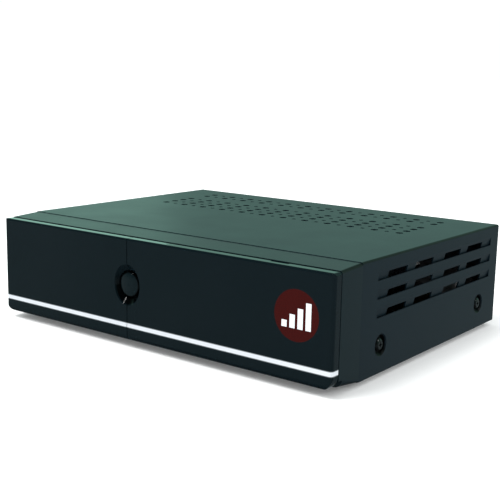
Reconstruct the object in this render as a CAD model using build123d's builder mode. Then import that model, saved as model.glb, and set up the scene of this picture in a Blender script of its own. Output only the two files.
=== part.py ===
"""Satellite television receiver in a folded steel case with a two-part glossy front.

Millimetres. X runs to the right seen from the front, Y towards the back, Z up.
The origin lies on the table under the middle of the object, and the feet stand on z = 0.
"""
import math
import os

from build123d import *

os.makedirs("parts", exist_ok=True)

STAND = (Align.CENTER, Align.CENTER, Align.MIN)
RISE = (Align.CENTER, Align.MIN)

# ------------------------------------------------------------------ driving dimensions
# Case
width = 220.0
depth = 172.0
height = 56.0
sheet = 0.8
fold_radius = 1.2
clearance = 0.3
cover_lift = 0.3
lip_height = 9.0
flange_height = 21.0
foot_height = 2.5
foot_radius = 6.5
foot_inset_x = 24.0
foot_inset_y = 34.0

# Vents
vent_radius = 2.3
vent_small_radius = 1.35
vent_pitch_x = 15.1
vent_pitch_y = 8.0
vent_columns = 12
vent_row_counts = (2, 4)
vent_skip_count = 1
vent_rear_margin = 19.0
louvre_rows = 3
louvre_drop = 10.8
louvre_pitch = 8.9
louvre_height = 4.6
louvre_depth = 1.1
louvre_front_margin = 37.0
louvre_rear_margin = 10.0
window_length = 18.5
window_height = 3.3
window_margin = 10.5
window_pitch = 27.0
floor_slot_length = 14.0
floor_slot_width = 3.0
floor_slot_pitch = 8.0
floor_slot_count = 4
rear_slot_height = 13.0
rear_slot_width = 2.4
rear_slot_pitch = 5.0
rear_slot_count = 12

# Plastic nose: the fascia and the glossy parts in front of it
nose_depth = 22.9
front_drop = 1.55
cover_step = 0.25
front_rise = 1.3
rear_rise = 0.3
lower_corner = 6.5
upper_corner = 1.5
rear_corner = 1.0
lower_round = 2.5
upper_round = 1.0
end_round = 1.8
panel_depth = 5.3
panel_wall = 2.0
panel_gap = 0.6
seam_from_left = 96.0
seam_gap = 0.45
stripe_height = 2.8
stripe_rise = 8.1
stripe_inlay = 0.8
fascia_wall = 2.0
bulkhead_setback = 10.0
bulkhead_wall = 2.0
tongue = 4.0
tongue_wall = 1.5
notch_from_right = 32.0
notch_length = 10.0
notch_depth = 1.9

# Power button and its dish
button_height = 30.5
button_radius = 6.6
button_recess = 1.2
button_dome = 0.7
button_edge = 0.8
button_flange = 8.0
button_travel = 0.8
button_gap = 0.9
flange_wall = 0.8
stem_reach = 0.6
stem_room = 0.5
dish_half_width = 8.9
dish_half_height = 10.7
dish_depth = 2.2
dish_wall = 3.6
collar_wall = 1.4
stem_radius = 1.4

# Keys behind the flap
key_count = 5
key_pitch = 14.0
key_drop = 15.0
key_length = 10.0
key_width = 5.5
key_proud = 2.4
key_lip = 0.9
key_corner = 1.2
key_edge = 0.4
key_travel = 0.5

# Flap hinge and catch
hinge_setback = 5.0
hinge_height = 4.4
hinge_pin_radius = 1.0
hinge_fit = 0.05
hinge_eye = 2.0
ear_wall = 3.5
lug_wall = 2.5
ear_inset_left = 8.0
ear_inset_right = 10.0
catch_inset = 18.0
catch_drop = 9.5
magnet_radius = 3.0
magnet_length = 4.0
plate_size = 8.0
plate_wall = 0.8

# Boards
board = 1.6
post_height = 6.0
post_radius = 2.6
board_margin = 5.0
board_gap = 4.0
board_back_gap = 2.0
main_depth = 94.0
power_width = 50.0
power_depth = 74.0
front_board_setback = 18.5
front_board_top_gap = 6.0
front_board_left = 10.0
front_board_right = 20.0
front_board_lower = 10.0
front_board_shelf = 25.0
reader_post = 11.2
reader_board_depth = 58.0

# Front parts on the boards
tact_size = 6.0
tact_height = 3.5
display_inset = 48.0
display_length = 50.3
display_width = 19.0
sensor_offset = 15.0
sensor_rise = 36.0
sensor_size = 6.5
led_rise = 25.0
led_radius = 1.5
led_pitch = 6.0
usb_width = 13.2
usb_height = 5.8
usb_depth = 14.0
usb_wall = 0.4
card_inset = 48.0
card_width = 54.6
card_thickness = 1.2
reader_wall = 1.6
reader_depth = 50.0
reader_height = 5.6
port_gap = 4.4

display_rim = 2.5
sensor_depth = 5.5

# Parts on the main board
chip_size = 27.0
chip_height = 1.6
sink_size = 36.0
sink_base = 2.5
sink_height = 12.0
sink_fins = 8
sink_fin = 1.2
memory_pitch = 16.0
memory_length = 12.0
memory_width = 9.0
capacitor_radius = 4.0
capacitor_height = 11.0
capacitor_pitch = 12.0
header_length = 24.0
header_depth = 5.0
header_height = 6.0
ribbon_width = 20.0
ribbon_wall = 0.4
ribbon_bend = 4.0
ribbon_rise = 27.0
ribbon_sag = 6.0

# Parts on the power board
core_length = 26.0
core_depth = 18.0
core_height = 20.0
coil_length = 18.0
coil_depth = 24.0
coil_height = 15.0
mains_capacitor_radius = 9.0
mains_capacitor_height = 24.0
output_capacitor_radius = 4.5
output_capacitor_height = 14.0
output_capacitor_pitch = 9.5
psu_sink_length = 28.0
psu_sink_height = 24.0
psu_sink_wall = 2.0
psu_sink_reach = 8.0
psu_sink_fin_count = 5
filter_length = 9.0
filter_depth = 13.0
filter_height = 13.0
fuse_radius = 2.6
fuse_length = 20.0
fuse_cap = 5.0
lead_radius = 0.6
lead_rise = 4.0
lead_pitch = 2.7
lead_count = 4

# Rear connectors
tuner_width = 30.0
tuner_depth = 42.0
tuner_height = 13.0
f_pitch = 15.0
f_radius = 4.7
f_reach = 11.0
f_bore = 0.6
f_flange_radius = 6.2
f_flange = 1.5
f_nut_flats = 11.0
f_nut_height = 2.3
root_step = 0.3
thread_fit = 0.05
hdmi_width = 15.0
hdmi_height = 6.2
hdmi_depth = 11.0
ethernet_width = 16.0
ethernet_height = 13.4
ethernet_depth = 21.0
ethernet_mouth_width = 11.8
ethernet_mouth_height = 8.4
port_proud = 0.6
port_back = 2.0
shell_wall = 0.5
mouth_depth = 12.0
tongue_height = 1.5
contact_length = 9.0
latch_width = 6.0
latch_height = 1.8
rca_pitch = 13.0
rca_block_depth = 9.0
rca_collar_radius = 5.0
rca_collar = 2.2
rca_sleeve_radius = 4.15
rca_sleeve_wall = 0.5
rca_reach = 9.5
rca_bore = 1.65
port_clearance = 0.4

# Mains side
inlet_height = 24.0
inlet_margin = 3.0
inlet_flange_width = 25.0
inlet_flange_height = 17.5
inlet_flange = 1.5
inlet_body_width = 20.0
inlet_body_height = 12.5
inlet_body_depth = 16.0
inlet_mouth_width = 15.6
inlet_mouth_height = 8.2
inlet_mouth_depth = 12.0
inlet_pin_pitch = 8.6
inlet_pin_radius = 1.2
inlet_pin_length = 9.0
switch_gap = 4.0
switch_flange_width = 21.0
switch_flange_height = 15.0
switch_flange = 1.8
switch_body_width = 19.0
switch_body_height = 13.0
switch_body_depth = 13.0
switch_wall = 0.8
rocker_angle = 12.0
rocker_crown = 3.0
rocker_back = 3.6
rocker_radius = 8.3
rocker_proud = 0.3
trunnion_radius = 1.2
tab_wall = 0.8
tab_width = 4.8

# Fasteners
screw_radius = 1.4
screw_head = 3.4
screw_head_height = 1.5
screw_length = 6.0
dimple_radius = 5.4
dimple_floor = 3.8
dimple_depth = 1.6
screw_setback = 42.0
screw_rise = 13.9
screw_rear_margin = 22.0
rear_screw_spread = 88.0
fascia_screw_spread = 70.0

# ------------------------------------------------------------------ derived places
front = -(depth - sheet + f_reach) / 2
rear = front + depth
wall_out = rear - sheet
wall_in = wall_out - sheet
base = foot_height
floor = base + sheet
top = base + height
cover_bottom = base + cover_lift
side = width / 2
inner_side = side - 2 * sheet
nose_back = front + nose_depth
panel_back = front + panel_depth
fascia_front = panel_back + panel_gap
bulkhead_front = front + bulkhead_setback
bulkhead_back = bulkhead_front + bulkhead_wall
front_board_face = front + front_board_setback
front_board_back = front_board_face + board
flange_face = bulkhead_back + clearance
switch_face = front_board_face - tact_height
seam = -side + seam_from_left
button_z = base + button_height
hole_radius = button_radius + button_gap
hinge_y = front + hinge_setback
hinge_z = base + hinge_height
left_ear = seam + ear_inset_left
right_ear = side - ear_inset_right
key_z = top - key_drop
board_top = floor + post_height + board
reader_top = floor + reader_post + board
power_left = side - board_margin - power_width
main_left = -side + board_margin
main_right = power_left - board_gap
main_x = (main_left + main_right) / 2
power_x = power_left + power_width / 2
board_rear = wall_in - board_back_gap
chip_x = main_x - sink_size / 2 - post_height / 2
chip_y = board_rear - main_depth + 2 * header_depth + sink_size / 2 + board_gap / 2
memory_x = main_x + memory_pitch
lead_x = (main_right - board_gap, power_left + board_gap)
memory_end = memory_x + (memory_pitch + memory_length) / 2
capacitor_x = (memory_end + lead_x[0] - header_height / 2) / 2
display_x = -side + display_inset
sensor_x = seam - sensor_offset
card_x = side - card_inset
reader_width = card_width + 2 * reader_wall
front_usb_x = card_x - reader_width / 2 - port_gap - usb_width / 2
inlet_x = inner_side - inlet_margin - inlet_flange_width / 2
switch_x = inlet_x - (inlet_flange_width + switch_flange_width) / 2 - switch_gap
mains_z = base + inlet_height
catch_x = side - catch_inset
key_middle = (seam + catch_x) / 2
key_spots = [key_middle + (n - (key_count - 1) / 2) * key_pitch for n in range(key_count)]
catch_z = top - catch_drop

# The rear sockets share the room over the main board evenly.
socket_widths = [tuner_width, tuner_width, hdmi_width, ethernet_width, usb_width, 2 * rca_pitch]
socket_spare = (main_right - main_left - sum(socket_widths)) / (len(socket_widths) + 1)
socket_spots = []
edge = main_left
for socket_width in socket_widths:
    edge += socket_spare
    socket_spots.append(edge + socket_width / 2)
    edge += socket_width
tuner_spots = socket_spots[:2]
hdmi_x, ethernet_x, rear_usb_x, rca_x = socket_spots[2:]
f_z = board_top + tuner_height / 2
f_spots = [x + dx for x in tuner_spots for dx in (-f_pitch / 2, f_pitch / 2)]
rca_low = board_top + rca_pitch / 2
rca_spots = [
    (rca_x + dx, rca_low + dz) for dx in (-rca_pitch / 2, rca_pitch / 2) for dz in (0, rca_pitch)
]


def across(y):
    """Sketch plane across the case at depth y, seen from the front, Z upwards."""
    return Plane.XZ.offset(-y)


def level(z):
    """Sketch plane parallel to the table at height z."""
    return Plane.XY.offset(z)


def upright(x):
    """Sketch plane along the case at x, Y to the right and Z upwards."""
    return Plane.YZ.offset(x)


def block(x, y, z, length, breadth, rise, mode=Mode.ADD):
    """Block centred on x and y that stands on z."""
    with Locations((x, y, z)):
        Box(length, breadth, rise, align=STAND, mode=mode)


def rod(x, y, z, radius, reach, mode=Mode.ADD):
    """Round bar that starts at y and runs towards the back."""
    with Locations(Plane(origin=(x, y, z), x_dir=(1, 0, 0), z_dir=(0, 1, 0))):
        Cylinder(radius, reach, align=STAND, mode=mode)


def bar(x, y, z, radius, reach, mode=Mode.ADD):
    """Round bar that starts at x and runs to the right."""
    with Locations(Plane(origin=(x, y, z), x_dir=(0, 1, 0), z_dir=(1, 0, 0))):
        Cylinder(radius, reach, align=STAND, mode=mode)


def post(x, y, z, radius, rise, mode=Mode.ADD):
    """Round bar that stands on z."""
    with Locations((x, y, z)):
        Cylinder(radius, rise, align=STAND, mode=mode)


def nose_top(y):
    """Height of the nose's upper face, which falls towards the front."""
    return top - front_drop + (front_drop - cover_step) * (y - front) / nose_depth


def nose_bottom(y):
    """Height of the nose's lower face, which rises towards the front."""
    return base + front_rise - (front_rise - rear_rise) * (y - front) / nose_depth


def nose_section(y, lower, upper):
    """Outline of the nose at depth y with its own corner radii."""
    with BuildSketch(across(y)) as section:
        with Locations((0, nose_bottom(y))):
            Rectangle(width, nose_top(y) - nose_bottom(y), align=RISE)
        fillet(section.vertices().group_by(Axis.Y)[0], lower)
        fillet(section.vertices().group_by(Axis.Y)[-1], upper)
    return section.sketch


def pressed_dimple(mouth, foot, bore):
    """Dish pressed into a sheet whose face is z = 0, its mouth upwards."""
    with BuildPart() as dish:
        with BuildSketch(Plane.XZ):
            Polygon(
                (mouth, 0),
                (mouth, -sheet),
                (foot, -dimple_depth - sheet),
                (bore, -dimple_depth - sheet),
                (bore, -dimple_depth),
                (foot, -dimple_depth),
                align=None,
            )
        revolve(axis=Axis.Z)
    return dish.part


def pan_screw(cross):
    """Screw that stands on z = 0 with its head upwards, with or without a cross recess."""
    with BuildPart() as screw:
        Cylinder(screw_head, screw_head_height, align=STAND)
        with Locations((0, 0, 0)):
            Cylinder(screw_radius, screw_length, align=(Align.CENTER, Align.CENTER, Align.MAX))
        if cross:
            chamfer(screw.edges().filter_by(GeomType.CIRCLE).group_by(Axis.Z)[-1], screw_head_height / 2)
            with Locations((0, 0, screw_head_height / 3)):
                Box(screw_head, screw_radius / 2, screw_head_height, align=STAND, mode=Mode.SUBTRACT)
                Box(screw_radius / 2, screw_head, screw_head_height, align=STAND, mode=Mode.SUBTRACT)
    return screw.part


# ------------------------------------------------------------------ steel cover
louvre_front = front + louvre_front_margin
louvre_length = depth - louvre_front_margin - louvre_rear_margin
louvre_slits = [top - louvre_drop - n * louvre_pitch for n in range(louvre_rows)]
window_ends = (louvre_front + window_margin, louvre_front + louvre_length - window_margin)
window_spots = [window_ends[0] + window_length / 2 + n * window_pitch for n in (0, 1)]
window_spots += [window_ends[1] - window_length / 2 - n * window_pitch for n in (0, 1)]
side_screw_spots = [
    (hand, y)
    for hand in (-1, 1)
    for y in (front + screw_setback, rear - screw_rear_margin)
]
side_screw_z = base + screw_rise
rear_screw_spots = (-rear_screw_spread, 0, rear_screw_spread)
rear_screw_z = top - lip_height / 2

with BuildPart() as top_cover:
    with BuildSketch(across(nose_back)):
        with Locations((0, cover_bottom)):
            Rectangle(width, top - cover_bottom, align=RISE)
            Rectangle(width - 2 * sheet, top - sheet - cover_bottom, align=RISE, mode=Mode.SUBTRACT)
    extrude(amount=nose_back - rear)
    with BuildSketch(across(rear)):
        with Locations((0, top - lip_height)):
            Rectangle(width, lip_height, align=RISE)
    extrude(amount=sheet)
    side_folds = top_cover.edges().filter_by(Axis.Y).group_by(Axis.Z)[-1]
    lip_fold = top_cover.edges().filter_by(Axis.X).group_by(Axis.Z)[-1].sort_by(Axis.Y)[-1]
    fillet([*side_folds, lip_fold], fold_radius)
    inner_folds = top_cover.edges().filter_by(Axis.Y)
    inner_folds = inner_folds.filter_by_position(Axis.Z, top - 1.2 * sheet, top - 0.8 * sheet)
    fillet(inner_folds, fold_radius - sheet)
    # Side louvres: a long strip leans inwards over each lanced slit, with windows along it
    for hand in (-1, 1):
        for slit in louvre_slits:
            with BuildSketch(across(louvre_front)):
                with Locations((hand * (side - sheet / 2), slit)):
                    Rectangle(sheet, louvre_height, align=RISE)
            extrude(amount=-louvre_length, mode=Mode.SUBTRACT)
            with BuildSketch(across(louvre_front)):
                Polygon(
                    (hand * side, slit + louvre_height),
                    (hand * (side - louvre_depth), slit),
                    (hand * (side - louvre_depth - sheet), slit),
                    (hand * (side - sheet), slit + louvre_height),
                    align=None,
                )
            extrude(amount=-louvre_length)
            with BuildSketch(upright(hand * side)):
                with Locations(*[(y, slit) for y in window_spots]):
                    Rectangle(window_length, window_height, align=RISE)
            extrude(amount=-hand * (louvre_depth + 2 * sheet), mode=Mode.SUBTRACT)
    # Dimples for the side screws and holes for the rear ones
    cover_dimple = pressed_dimple(dimple_radius, dimple_floor, screw_radius + clearance)
    for hand, y in side_screw_spots:
        bar(hand * side - sheet, y, side_screw_z, dimple_radius, 2 * sheet, Mode.SUBTRACT)
        with Locations(Plane(origin=(hand * side, y, side_screw_z), z_dir=(hand, 0, 0))):
            add(cover_dimple)
    for x in rear_screw_spots:
        rod(x, wall_out, rear_screw_z, screw_radius + clearance, sheet, Mode.SUBTRACT)
    # Two bands of hexagonal vents over the boards, with small holes between the large ones
    with BuildSketch(level(top)):
        first_row = 0
        for row_count in vent_row_counts:
            middle_row = first_row + (row_count - 1) / 2
            first_row += row_count + vent_skip_count
            with Locations((0, rear - vent_rear_margin - middle_row * vent_pitch_y)):
                with GridLocations(vent_pitch_x, vent_pitch_y, vent_columns, row_count):
                    RegularPolygon(vent_radius, 6)
                with GridLocations(vent_pitch_x, vent_pitch_y, vent_columns - 1, row_count):
                    RegularPolygon(vent_small_radius, 6)
    extrude(amount=-2 * sheet, clean=False, mode=Mode.SUBTRACT)
top_cover.part.label = "top_cover"
export_step(top_cover.part, "parts/top_cover.step")

# ------------------------------------------------------------------ steel tray
flange_front = nose_back + tongue + clearance
fascia_screw_y = nose_back + tongue
fascia_screw_spots = (-fascia_screw_spread, 0, fascia_screw_spread)

with BuildPart() as bottom_chassis:
    block(0, (nose_back + wall_out) / 2, base, 2 * (side - sheet), wall_out - nose_back, sheet)
    for hand in (-1, 1):
        flange_x = hand * (side - 1.5 * sheet)
        flange_length = wall_out - flange_front
        block(flange_x, wall_out - flange_length / 2, base, sheet, flange_length, flange_height)
    block(0, (wall_in + wall_out) / 2, base, 2 * (side - sheet), sheet, height - sheet)
    fillet(bottom_chassis.edges().filter_by(Axis.Y).group_by(Axis.Z)[-1], fold_radius)
    tray_dimple = pressed_dimple(
        dimple_radius + clearance, dimple_floor + clearance, screw_radius + thread_fit
    )
    for hand, y in side_screw_spots:
        mouth = hand * (side - sheet)
        bar(mouth - sheet, y, side_screw_z, dimple_radius + clearance, 2 * sheet, Mode.SUBTRACT)
        with Locations(Plane(origin=(mouth, y, side_screw_z), z_dir=(hand, 0, 0))):
            add(tray_dimple)
    # Cut-outs in the rear wall
    with BuildSketch(across(wall_out)):
        with Locations(*[(x, f_z) for x in f_spots]):
            Circle(f_radius + clearance)
        with Locations((hdmi_x, board_top + hdmi_height / 2)):
            Rectangle(hdmi_width + 2 * port_clearance, hdmi_height + 2 * port_clearance)
        with Locations((ethernet_x, board_top + ethernet_height / 2)):
            Rectangle(ethernet_width + 2 * port_clearance, ethernet_height + 2 * port_clearance)
        with Locations((rear_usb_x, board_top + usb_height / 2)):
            Rectangle(usb_width + 2 * port_clearance, usb_height + 2 * port_clearance)
        with Locations(*rca_spots):
            Circle(rca_collar_radius + clearance)
        with Locations((inlet_x, mains_z)):
            Rectangle(inlet_body_width + 2 * clearance, inlet_body_height + 2 * clearance)
        with Locations((switch_x, mains_z)):
            Rectangle(switch_body_width + 2 * clearance, switch_body_height + 2 * clearance)
        with Locations(*[(x, rear_screw_z) for x in rear_screw_spots]):
            Circle(screw_radius + thread_fit)
        with Locations((tuner_spots[1], board_top + tuner_height + rear_slot_height)):
            with GridLocations(rear_slot_pitch, rear_slot_height, rear_slot_count, 1):
                Rectangle(rear_slot_width, rear_slot_height)
    extrude(amount=sheet, mode=Mode.SUBTRACT)
    # Floor vents under both boards, and holes for the screws that hold the fascia
    with BuildSketch(level(floor)):
        for x, count in ((main_x, 2 * floor_slot_count), (power_x, floor_slot_count)):
            for y in (wall_in - main_depth / 4, wall_in - 3 * main_depth / 4):
                with Locations((x, y)):
                    with GridLocations(floor_slot_pitch, floor_slot_length, count, 1):
                        Rectangle(floor_slot_width, floor_slot_length)
        with Locations(*[(x, fascia_screw_y) for x in fascia_screw_spots]):
            Circle(screw_radius + clearance)
    extrude(amount=-sheet, mode=Mode.SUBTRACT)
bottom_chassis.part.label = "bottom_chassis"
export_step(bottom_chassis.part, "parts/bottom_chassis.step")

# ------------------------------------------------------------------ fascia moulding
recess_width = width - 2 * fascia_wall
recess_low = nose_bottom(fascia_front) + fascia_wall
recess_high = nose_top(fascia_front) - fascia_wall
peg_radius = 2.5
peg_pin_radius = screw_radius
peg_spots = [
    (x, z)
    for x in (-side + end_round + 3 * peg_radius, seam - sensor_offset)
    for z in (base + 4 * peg_radius, top - 3 * peg_radius)
]
board_boss_spots = [
    (-side + front_board_left + 2 * post_radius, base + front_board_lower + 2 * post_radius),
    (-side + front_board_left + 2 * post_radius, top - front_board_top_gap - 2 * post_radius),
    (seam + button_flange, base + front_board_lower + 2 * post_radius),
    (seam + button_flange + post_radius, top - front_board_top_gap - 2 * post_radius),
    (side - front_board_right - 2 * post_radius, top - front_board_top_gap - 2 * post_radius),
]
card_z = reader_top + reader_height / 2
front_usb_z = reader_top + usb_height / 2
led_spots = [(sensor_x, base + led_rise - n * led_pitch) for n in (0, 1)]
collar_reach = bulkhead_front - fascia_front
magnet_face = front + panel_wall + plate_wall + clearance
magnet_boss_reach = bulkhead_front - magnet_face - sheet
hinge_reach = hinge_height - front_rise + panel_depth - hinge_setback
left_lug = left_ear + (ear_wall + lug_wall) / 2 + port_clearance
right_lug = right_ear - (ear_wall + lug_wall) / 2 - port_clearance

with BuildPart() as nose:
    add(nose_section(front, lower_corner, upper_corner))
    add(nose_section(nose_back, rear_corner, upper_corner))
    loft()

with BuildPart() as fascia_frame:
    add(nose.part)
    with BuildSketch(across(front)):
        with Locations((0, base)):
            Rectangle(2 * width, height, align=RISE)
    extrude(amount=front - fascia_front, mode=Mode.SUBTRACT)
    # Open recess towards the glossy panels, with rounded lower corners
    with BuildSketch(across(fascia_front)) as recess:
        with Locations((0, recess_low)):
            Rectangle(recess_width, recess_high - recess_low, align=RISE)
        fillet(recess.vertices().group_by(Axis.Y)[0], lower_corner - fascia_wall)
    extrude(amount=fascia_front - bulkhead_front, mode=Mode.SUBTRACT)
    # Hollow behind the bulkhead
    with BuildSketch(across(bulkhead_back)):
        with Locations((0, recess_low)):
            Rectangle(recess_width, recess_high - recess_low, align=RISE)
    extrude(amount=bulkhead_back - nose_back, mode=Mode.SUBTRACT)
    # Tongue that slides inside the cover and over the tray
    with BuildSketch(across(nose_back - tongue_wall)) as ring:
        with Locations((0, (floor + top - sheet) / 2)):
            Rectangle(2 * (side - sheet), top - sheet - floor)
            fillet(ring.vertices().group_by(Axis.Y)[-1], fold_radius)
            Rectangle(
                2 * (side - sheet - tongue_wall),
                top - sheet - floor - 2 * tongue_wall,
                mode=Mode.SUBTRACT,
            )
    extrude(amount=-tongue_wall - tongue)
    for x in fascia_screw_spots:
        pad = tongue_wall + tongue + post_radius
        block(x, nose_back - tongue_wall + pad / 2, floor, 2 * post_radius, pad, screw_length)
    # Collar for the power button, bosses for the front board, boss for the catch magnet
    rod(seam, fascia_front, button_z, button_radius + clearance + collar_wall, collar_reach)
    for x, z in board_boss_spots:
        rod(x, bulkhead_back, z, post_radius, front_board_face - bulkhead_back)
    rod(catch_x, magnet_face + sheet, catch_z, magnet_radius + collar_wall, magnet_boss_reach)
    # Windows and holes through the bulkhead
    with BuildSketch(across(bulkhead_back)):
        with Locations((display_x, button_z)):
            Rectangle(display_length + 2 * clearance, display_width + 2 * clearance)
        with Locations((sensor_x, base + sensor_rise)):
            Rectangle(sensor_size + 2 * clearance, sensor_size + 2 * clearance)
        with Locations(*led_spots):
            Circle(led_radius + clearance)
        with Locations((seam, button_z)):
            Circle(button_radius + clearance)
        with Locations(*[(x, key_z) for x in key_spots]):
            RectangleRounded(key_length + 2 * clearance, key_width + 2 * clearance, key_corner)
        with Locations((front_usb_x, front_usb_z)):
            Rectangle(usb_width + 2 * port_clearance, usb_height + 2 * port_clearance)
        with Locations((card_x, card_z)):
            Rectangle(card_width + 2 * port_clearance, card_thickness + 2 * port_clearance)
        with Locations(*peg_spots):
            Circle(peg_pin_radius + clearance)
    extrude(amount=bulkhead_back - fascia_front, mode=Mode.SUBTRACT)
    rod(catch_x, magnet_face, catch_z, magnet_radius + thread_fit, magnet_length, Mode.SUBTRACT)
    for x, z in board_boss_spots:
        boss = front_board_face - bulkhead_back
        rod(x, bulkhead_back, z, screw_radius + thread_fit, boss, Mode.SUBTRACT)
    for x in fascia_screw_spots:
        post(x, fascia_screw_y, floor, screw_radius + thread_fit, screw_length, Mode.SUBTRACT)
    # Room for the lower edge of the flap as it swings back under, and the two ears that carry it
    block(
        (seam + side) / 2 + seam_gap,
        fascia_front,
        base,
        side - seam + 2 * seam_gap,
        2 * (hinge_reach - panel_gap),
        hinge_height + panel_gap,
        Mode.SUBTRACT,
    )
    for x in (left_ear, right_ear):
        bar(x - ear_wall / 2, hinge_y, hinge_z, hinge_eye, ear_wall)
        ear_arm = bulkhead_front - hinge_y
        block(x, hinge_y + ear_arm / 2, hinge_z - hinge_eye, ear_wall, ear_arm, 2 * hinge_eye)
        bar(x - ear_wall / 2, hinge_y, hinge_z, hinge_pin_radius + thread_fit, ear_wall, Mode.SUBTRACT)
fascia_frame.part.label = "fascia_frame"
export_step(fascia_frame.part, "parts/fascia_frame.step")

# ------------------------------------------------------------------ glossy front
# One skin with rounded edges, cut at the seam into a fixed panel and a drop-down flap
with BuildPart() as front_skin:
    with BuildSketch(across(front)) as outline:
        with Locations((0, nose_bottom(front))):
            Rectangle(width, nose_top(front) - nose_bottom(front), align=RISE)
        fillet(outline.vertices().group_by(Axis.Y)[0], lower_corner)
        fillet(outline.vertices().group_by(Axis.Y)[-1], upper_corner)
    extrude(amount=-panel_depth)
    with BuildSketch(upright(-side)) as profile:
        with Locations((front, nose_bottom(front))):
            Rectangle(panel_depth, nose_top(front) - nose_bottom(front), align=Align.MIN)
        fillet(profile.vertices().group_by(Axis.X)[0].sort_by(Axis.Y)[0], lower_round)
        fillet(profile.vertices().group_by(Axis.X)[0].sort_by(Axis.Y)[-1], upper_round)
    extrude(amount=width, mode=Mode.INTERSECT)
    with BuildSketch(level(base)) as plan:
        with Locations((0, front + panel_depth / 2)):
            Rectangle(width, panel_depth)
        fillet(plan.vertices().group_by(Axis.Y)[0], end_round)
    extrude(amount=height, mode=Mode.INTERSECT)

with BuildPart() as stripe_band:
    with BuildSketch(level(base + stripe_rise)) as outer_plan:
        with Locations((0, front + panel_depth / 2)):
            Rectangle(width, panel_depth)
        fillet(outer_plan.vertices().group_by(Axis.Y)[0], end_round)
    extrude(amount=stripe_height)
    with BuildSketch(level(base + stripe_rise)) as inner_plan:
        with Locations((0, front + stripe_inlay + panel_depth / 2)):
            Rectangle(width - 2 * stripe_inlay, panel_depth)
        fillet(inner_plan.vertices().group_by(Axis.Y)[0], end_round - stripe_inlay)
    extrude(amount=stripe_height, mode=Mode.SUBTRACT)

# Oval dish round the power button, which narrows to the round hole that the button stands in
with BuildPart() as button_dish:
    flare = 1 + panel_gap / dish_depth
    with BuildSketch(across(front - panel_gap)):
        with Locations((seam, button_z)):
            Ellipse(
                hole_radius + (dish_half_width - hole_radius) * flare,
                hole_radius + (dish_half_height - hole_radius) * flare,
            )
    with BuildSketch(across(front + dish_depth)):
        with Locations((seam, button_z)):
            Circle(hole_radius)
    loft()
    rod(seam, front + dish_depth, button_z, hole_radius, panel_depth)


def span(near, far):
    """Block that covers the whole front between two x positions."""
    return Pos((near + far) / 2, front, base) * Box(far - near, 2 * nose_depth, 2 * height, align=STAND)


def glossy_half(near, far):
    """One half of the front: its skin, its seam wall and its share of the button dish."""
    with BuildPart() as half:
        add(front_skin.part)
        add(span(near, far), mode=Mode.INTERSECT)
        with BuildSketch(across(front + panel_wall)) as hollow:
            with Locations(((near + far) / 2, nose_bottom(front) + panel_wall)):
                Rectangle(
                    far - near - 2 * panel_wall,
                    nose_top(front) - nose_bottom(front) - 2 * panel_wall,
                    align=RISE,
                )
            fillet(hollow.vertices().group_by(Axis.Y)[0], lower_corner - panel_wall)
        extrude(amount=-panel_depth, mode=Mode.SUBTRACT)
        rod(seam, front + panel_wall / 2, button_z, hole_radius + panel_wall, dish_wall - panel_wall / 2)
        add(span(near, far), mode=Mode.INTERSECT)
        add(button_dish.part, mode=Mode.SUBTRACT)
        add(stripe_band.part, mode=Mode.SUBTRACT)
    return half.part


left_reach = (-side, seam - seam_gap / 2)
flap_reach = (seam + seam_gap / 2, side)

with BuildPart() as left_panel:
    add(glossy_half(*left_reach))
    for x, z in peg_spots:
        rod(x, front + panel_wall / 2, z, peg_radius, bulkhead_setback - panel_wall / 2)
        rod(x, bulkhead_front, z, peg_pin_radius, bulkhead_wall)
left_panel.part.label = "left_panel"
export_step(left_panel.part, "parts/left_panel.step")

with BuildPart() as left_stripe:
    add(stripe_band.part)
    add(span(*left_reach), mode=Mode.INTERSECT)
left_stripe.part.label = "left_stripe"
export_step(left_stripe.part, "parts/left_stripe.step")

with BuildPart() as flap_door:
    add(glossy_half(*flap_reach))
    # Finger notch in the turned-back upper edge
    block(
        side - notch_from_right,
        panel_back,
        top - front_drop - panel_wall,
        notch_length,
        2 * notch_depth,
        2 * panel_wall,
        Mode.SUBTRACT,
    )
    # Lower edge cut away where the ears come through, and a lug beside each cut for the pin
    for x, lug_x in ((left_ear, left_lug), (right_ear, right_lug)):
        ear_room = ear_wall + 2 * port_clearance
        depth_room = 2 * (panel_depth - panel_wall)
        block(x, panel_back, base, ear_room, depth_room, 2 * hinge_height, Mode.SUBTRACT)
        bar(lug_x - lug_wall / 2, hinge_y, hinge_z, hinge_eye, lug_wall)
        lug_root = hinge_setback - panel_wall / 2
        block(lug_x, hinge_y - lug_root / 2, hinge_z - hinge_eye, lug_wall, lug_root, 2 * hinge_eye)
        bar(lug_x - lug_wall, hinge_y, hinge_z, hinge_pin_radius + hinge_fit, 2 * lug_wall, Mode.SUBTRACT)
flap_door.part.label = "flap_door"
export_step(flap_door.part, "parts/flap_door.step")

with BuildPart() as flap_stripe:
    add(stripe_band.part)
    add(span(*flap_reach), mode=Mode.INTERSECT)
flap_stripe.part.label = "flap_stripe"
export_step(flap_stripe.part, "parts/flap_stripe.step")

with BuildPart() as hinge_pins:
    for x, lug_x in ((left_ear, left_lug), (right_ear, right_lug)):
        pin_start = min(x - ear_wall / 2, lug_x - lug_wall / 2)
        pin_end = max(x + ear_wall / 2, lug_x + lug_wall / 2)
        bar(pin_start, hinge_y, hinge_z, hinge_pin_radius, pin_end - pin_start)
hinge_pins.part.label = "hinge_pins"
export_step(hinge_pins.part, "parts/hinge_pins.step")

with BuildPart() as catch_magnet:
    rod(catch_x, magnet_face, catch_z, magnet_radius, magnet_length)
catch_magnet.part.label = "catch_magnet"
export_step(catch_magnet.part, "parts/catch_magnet.step")

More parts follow.
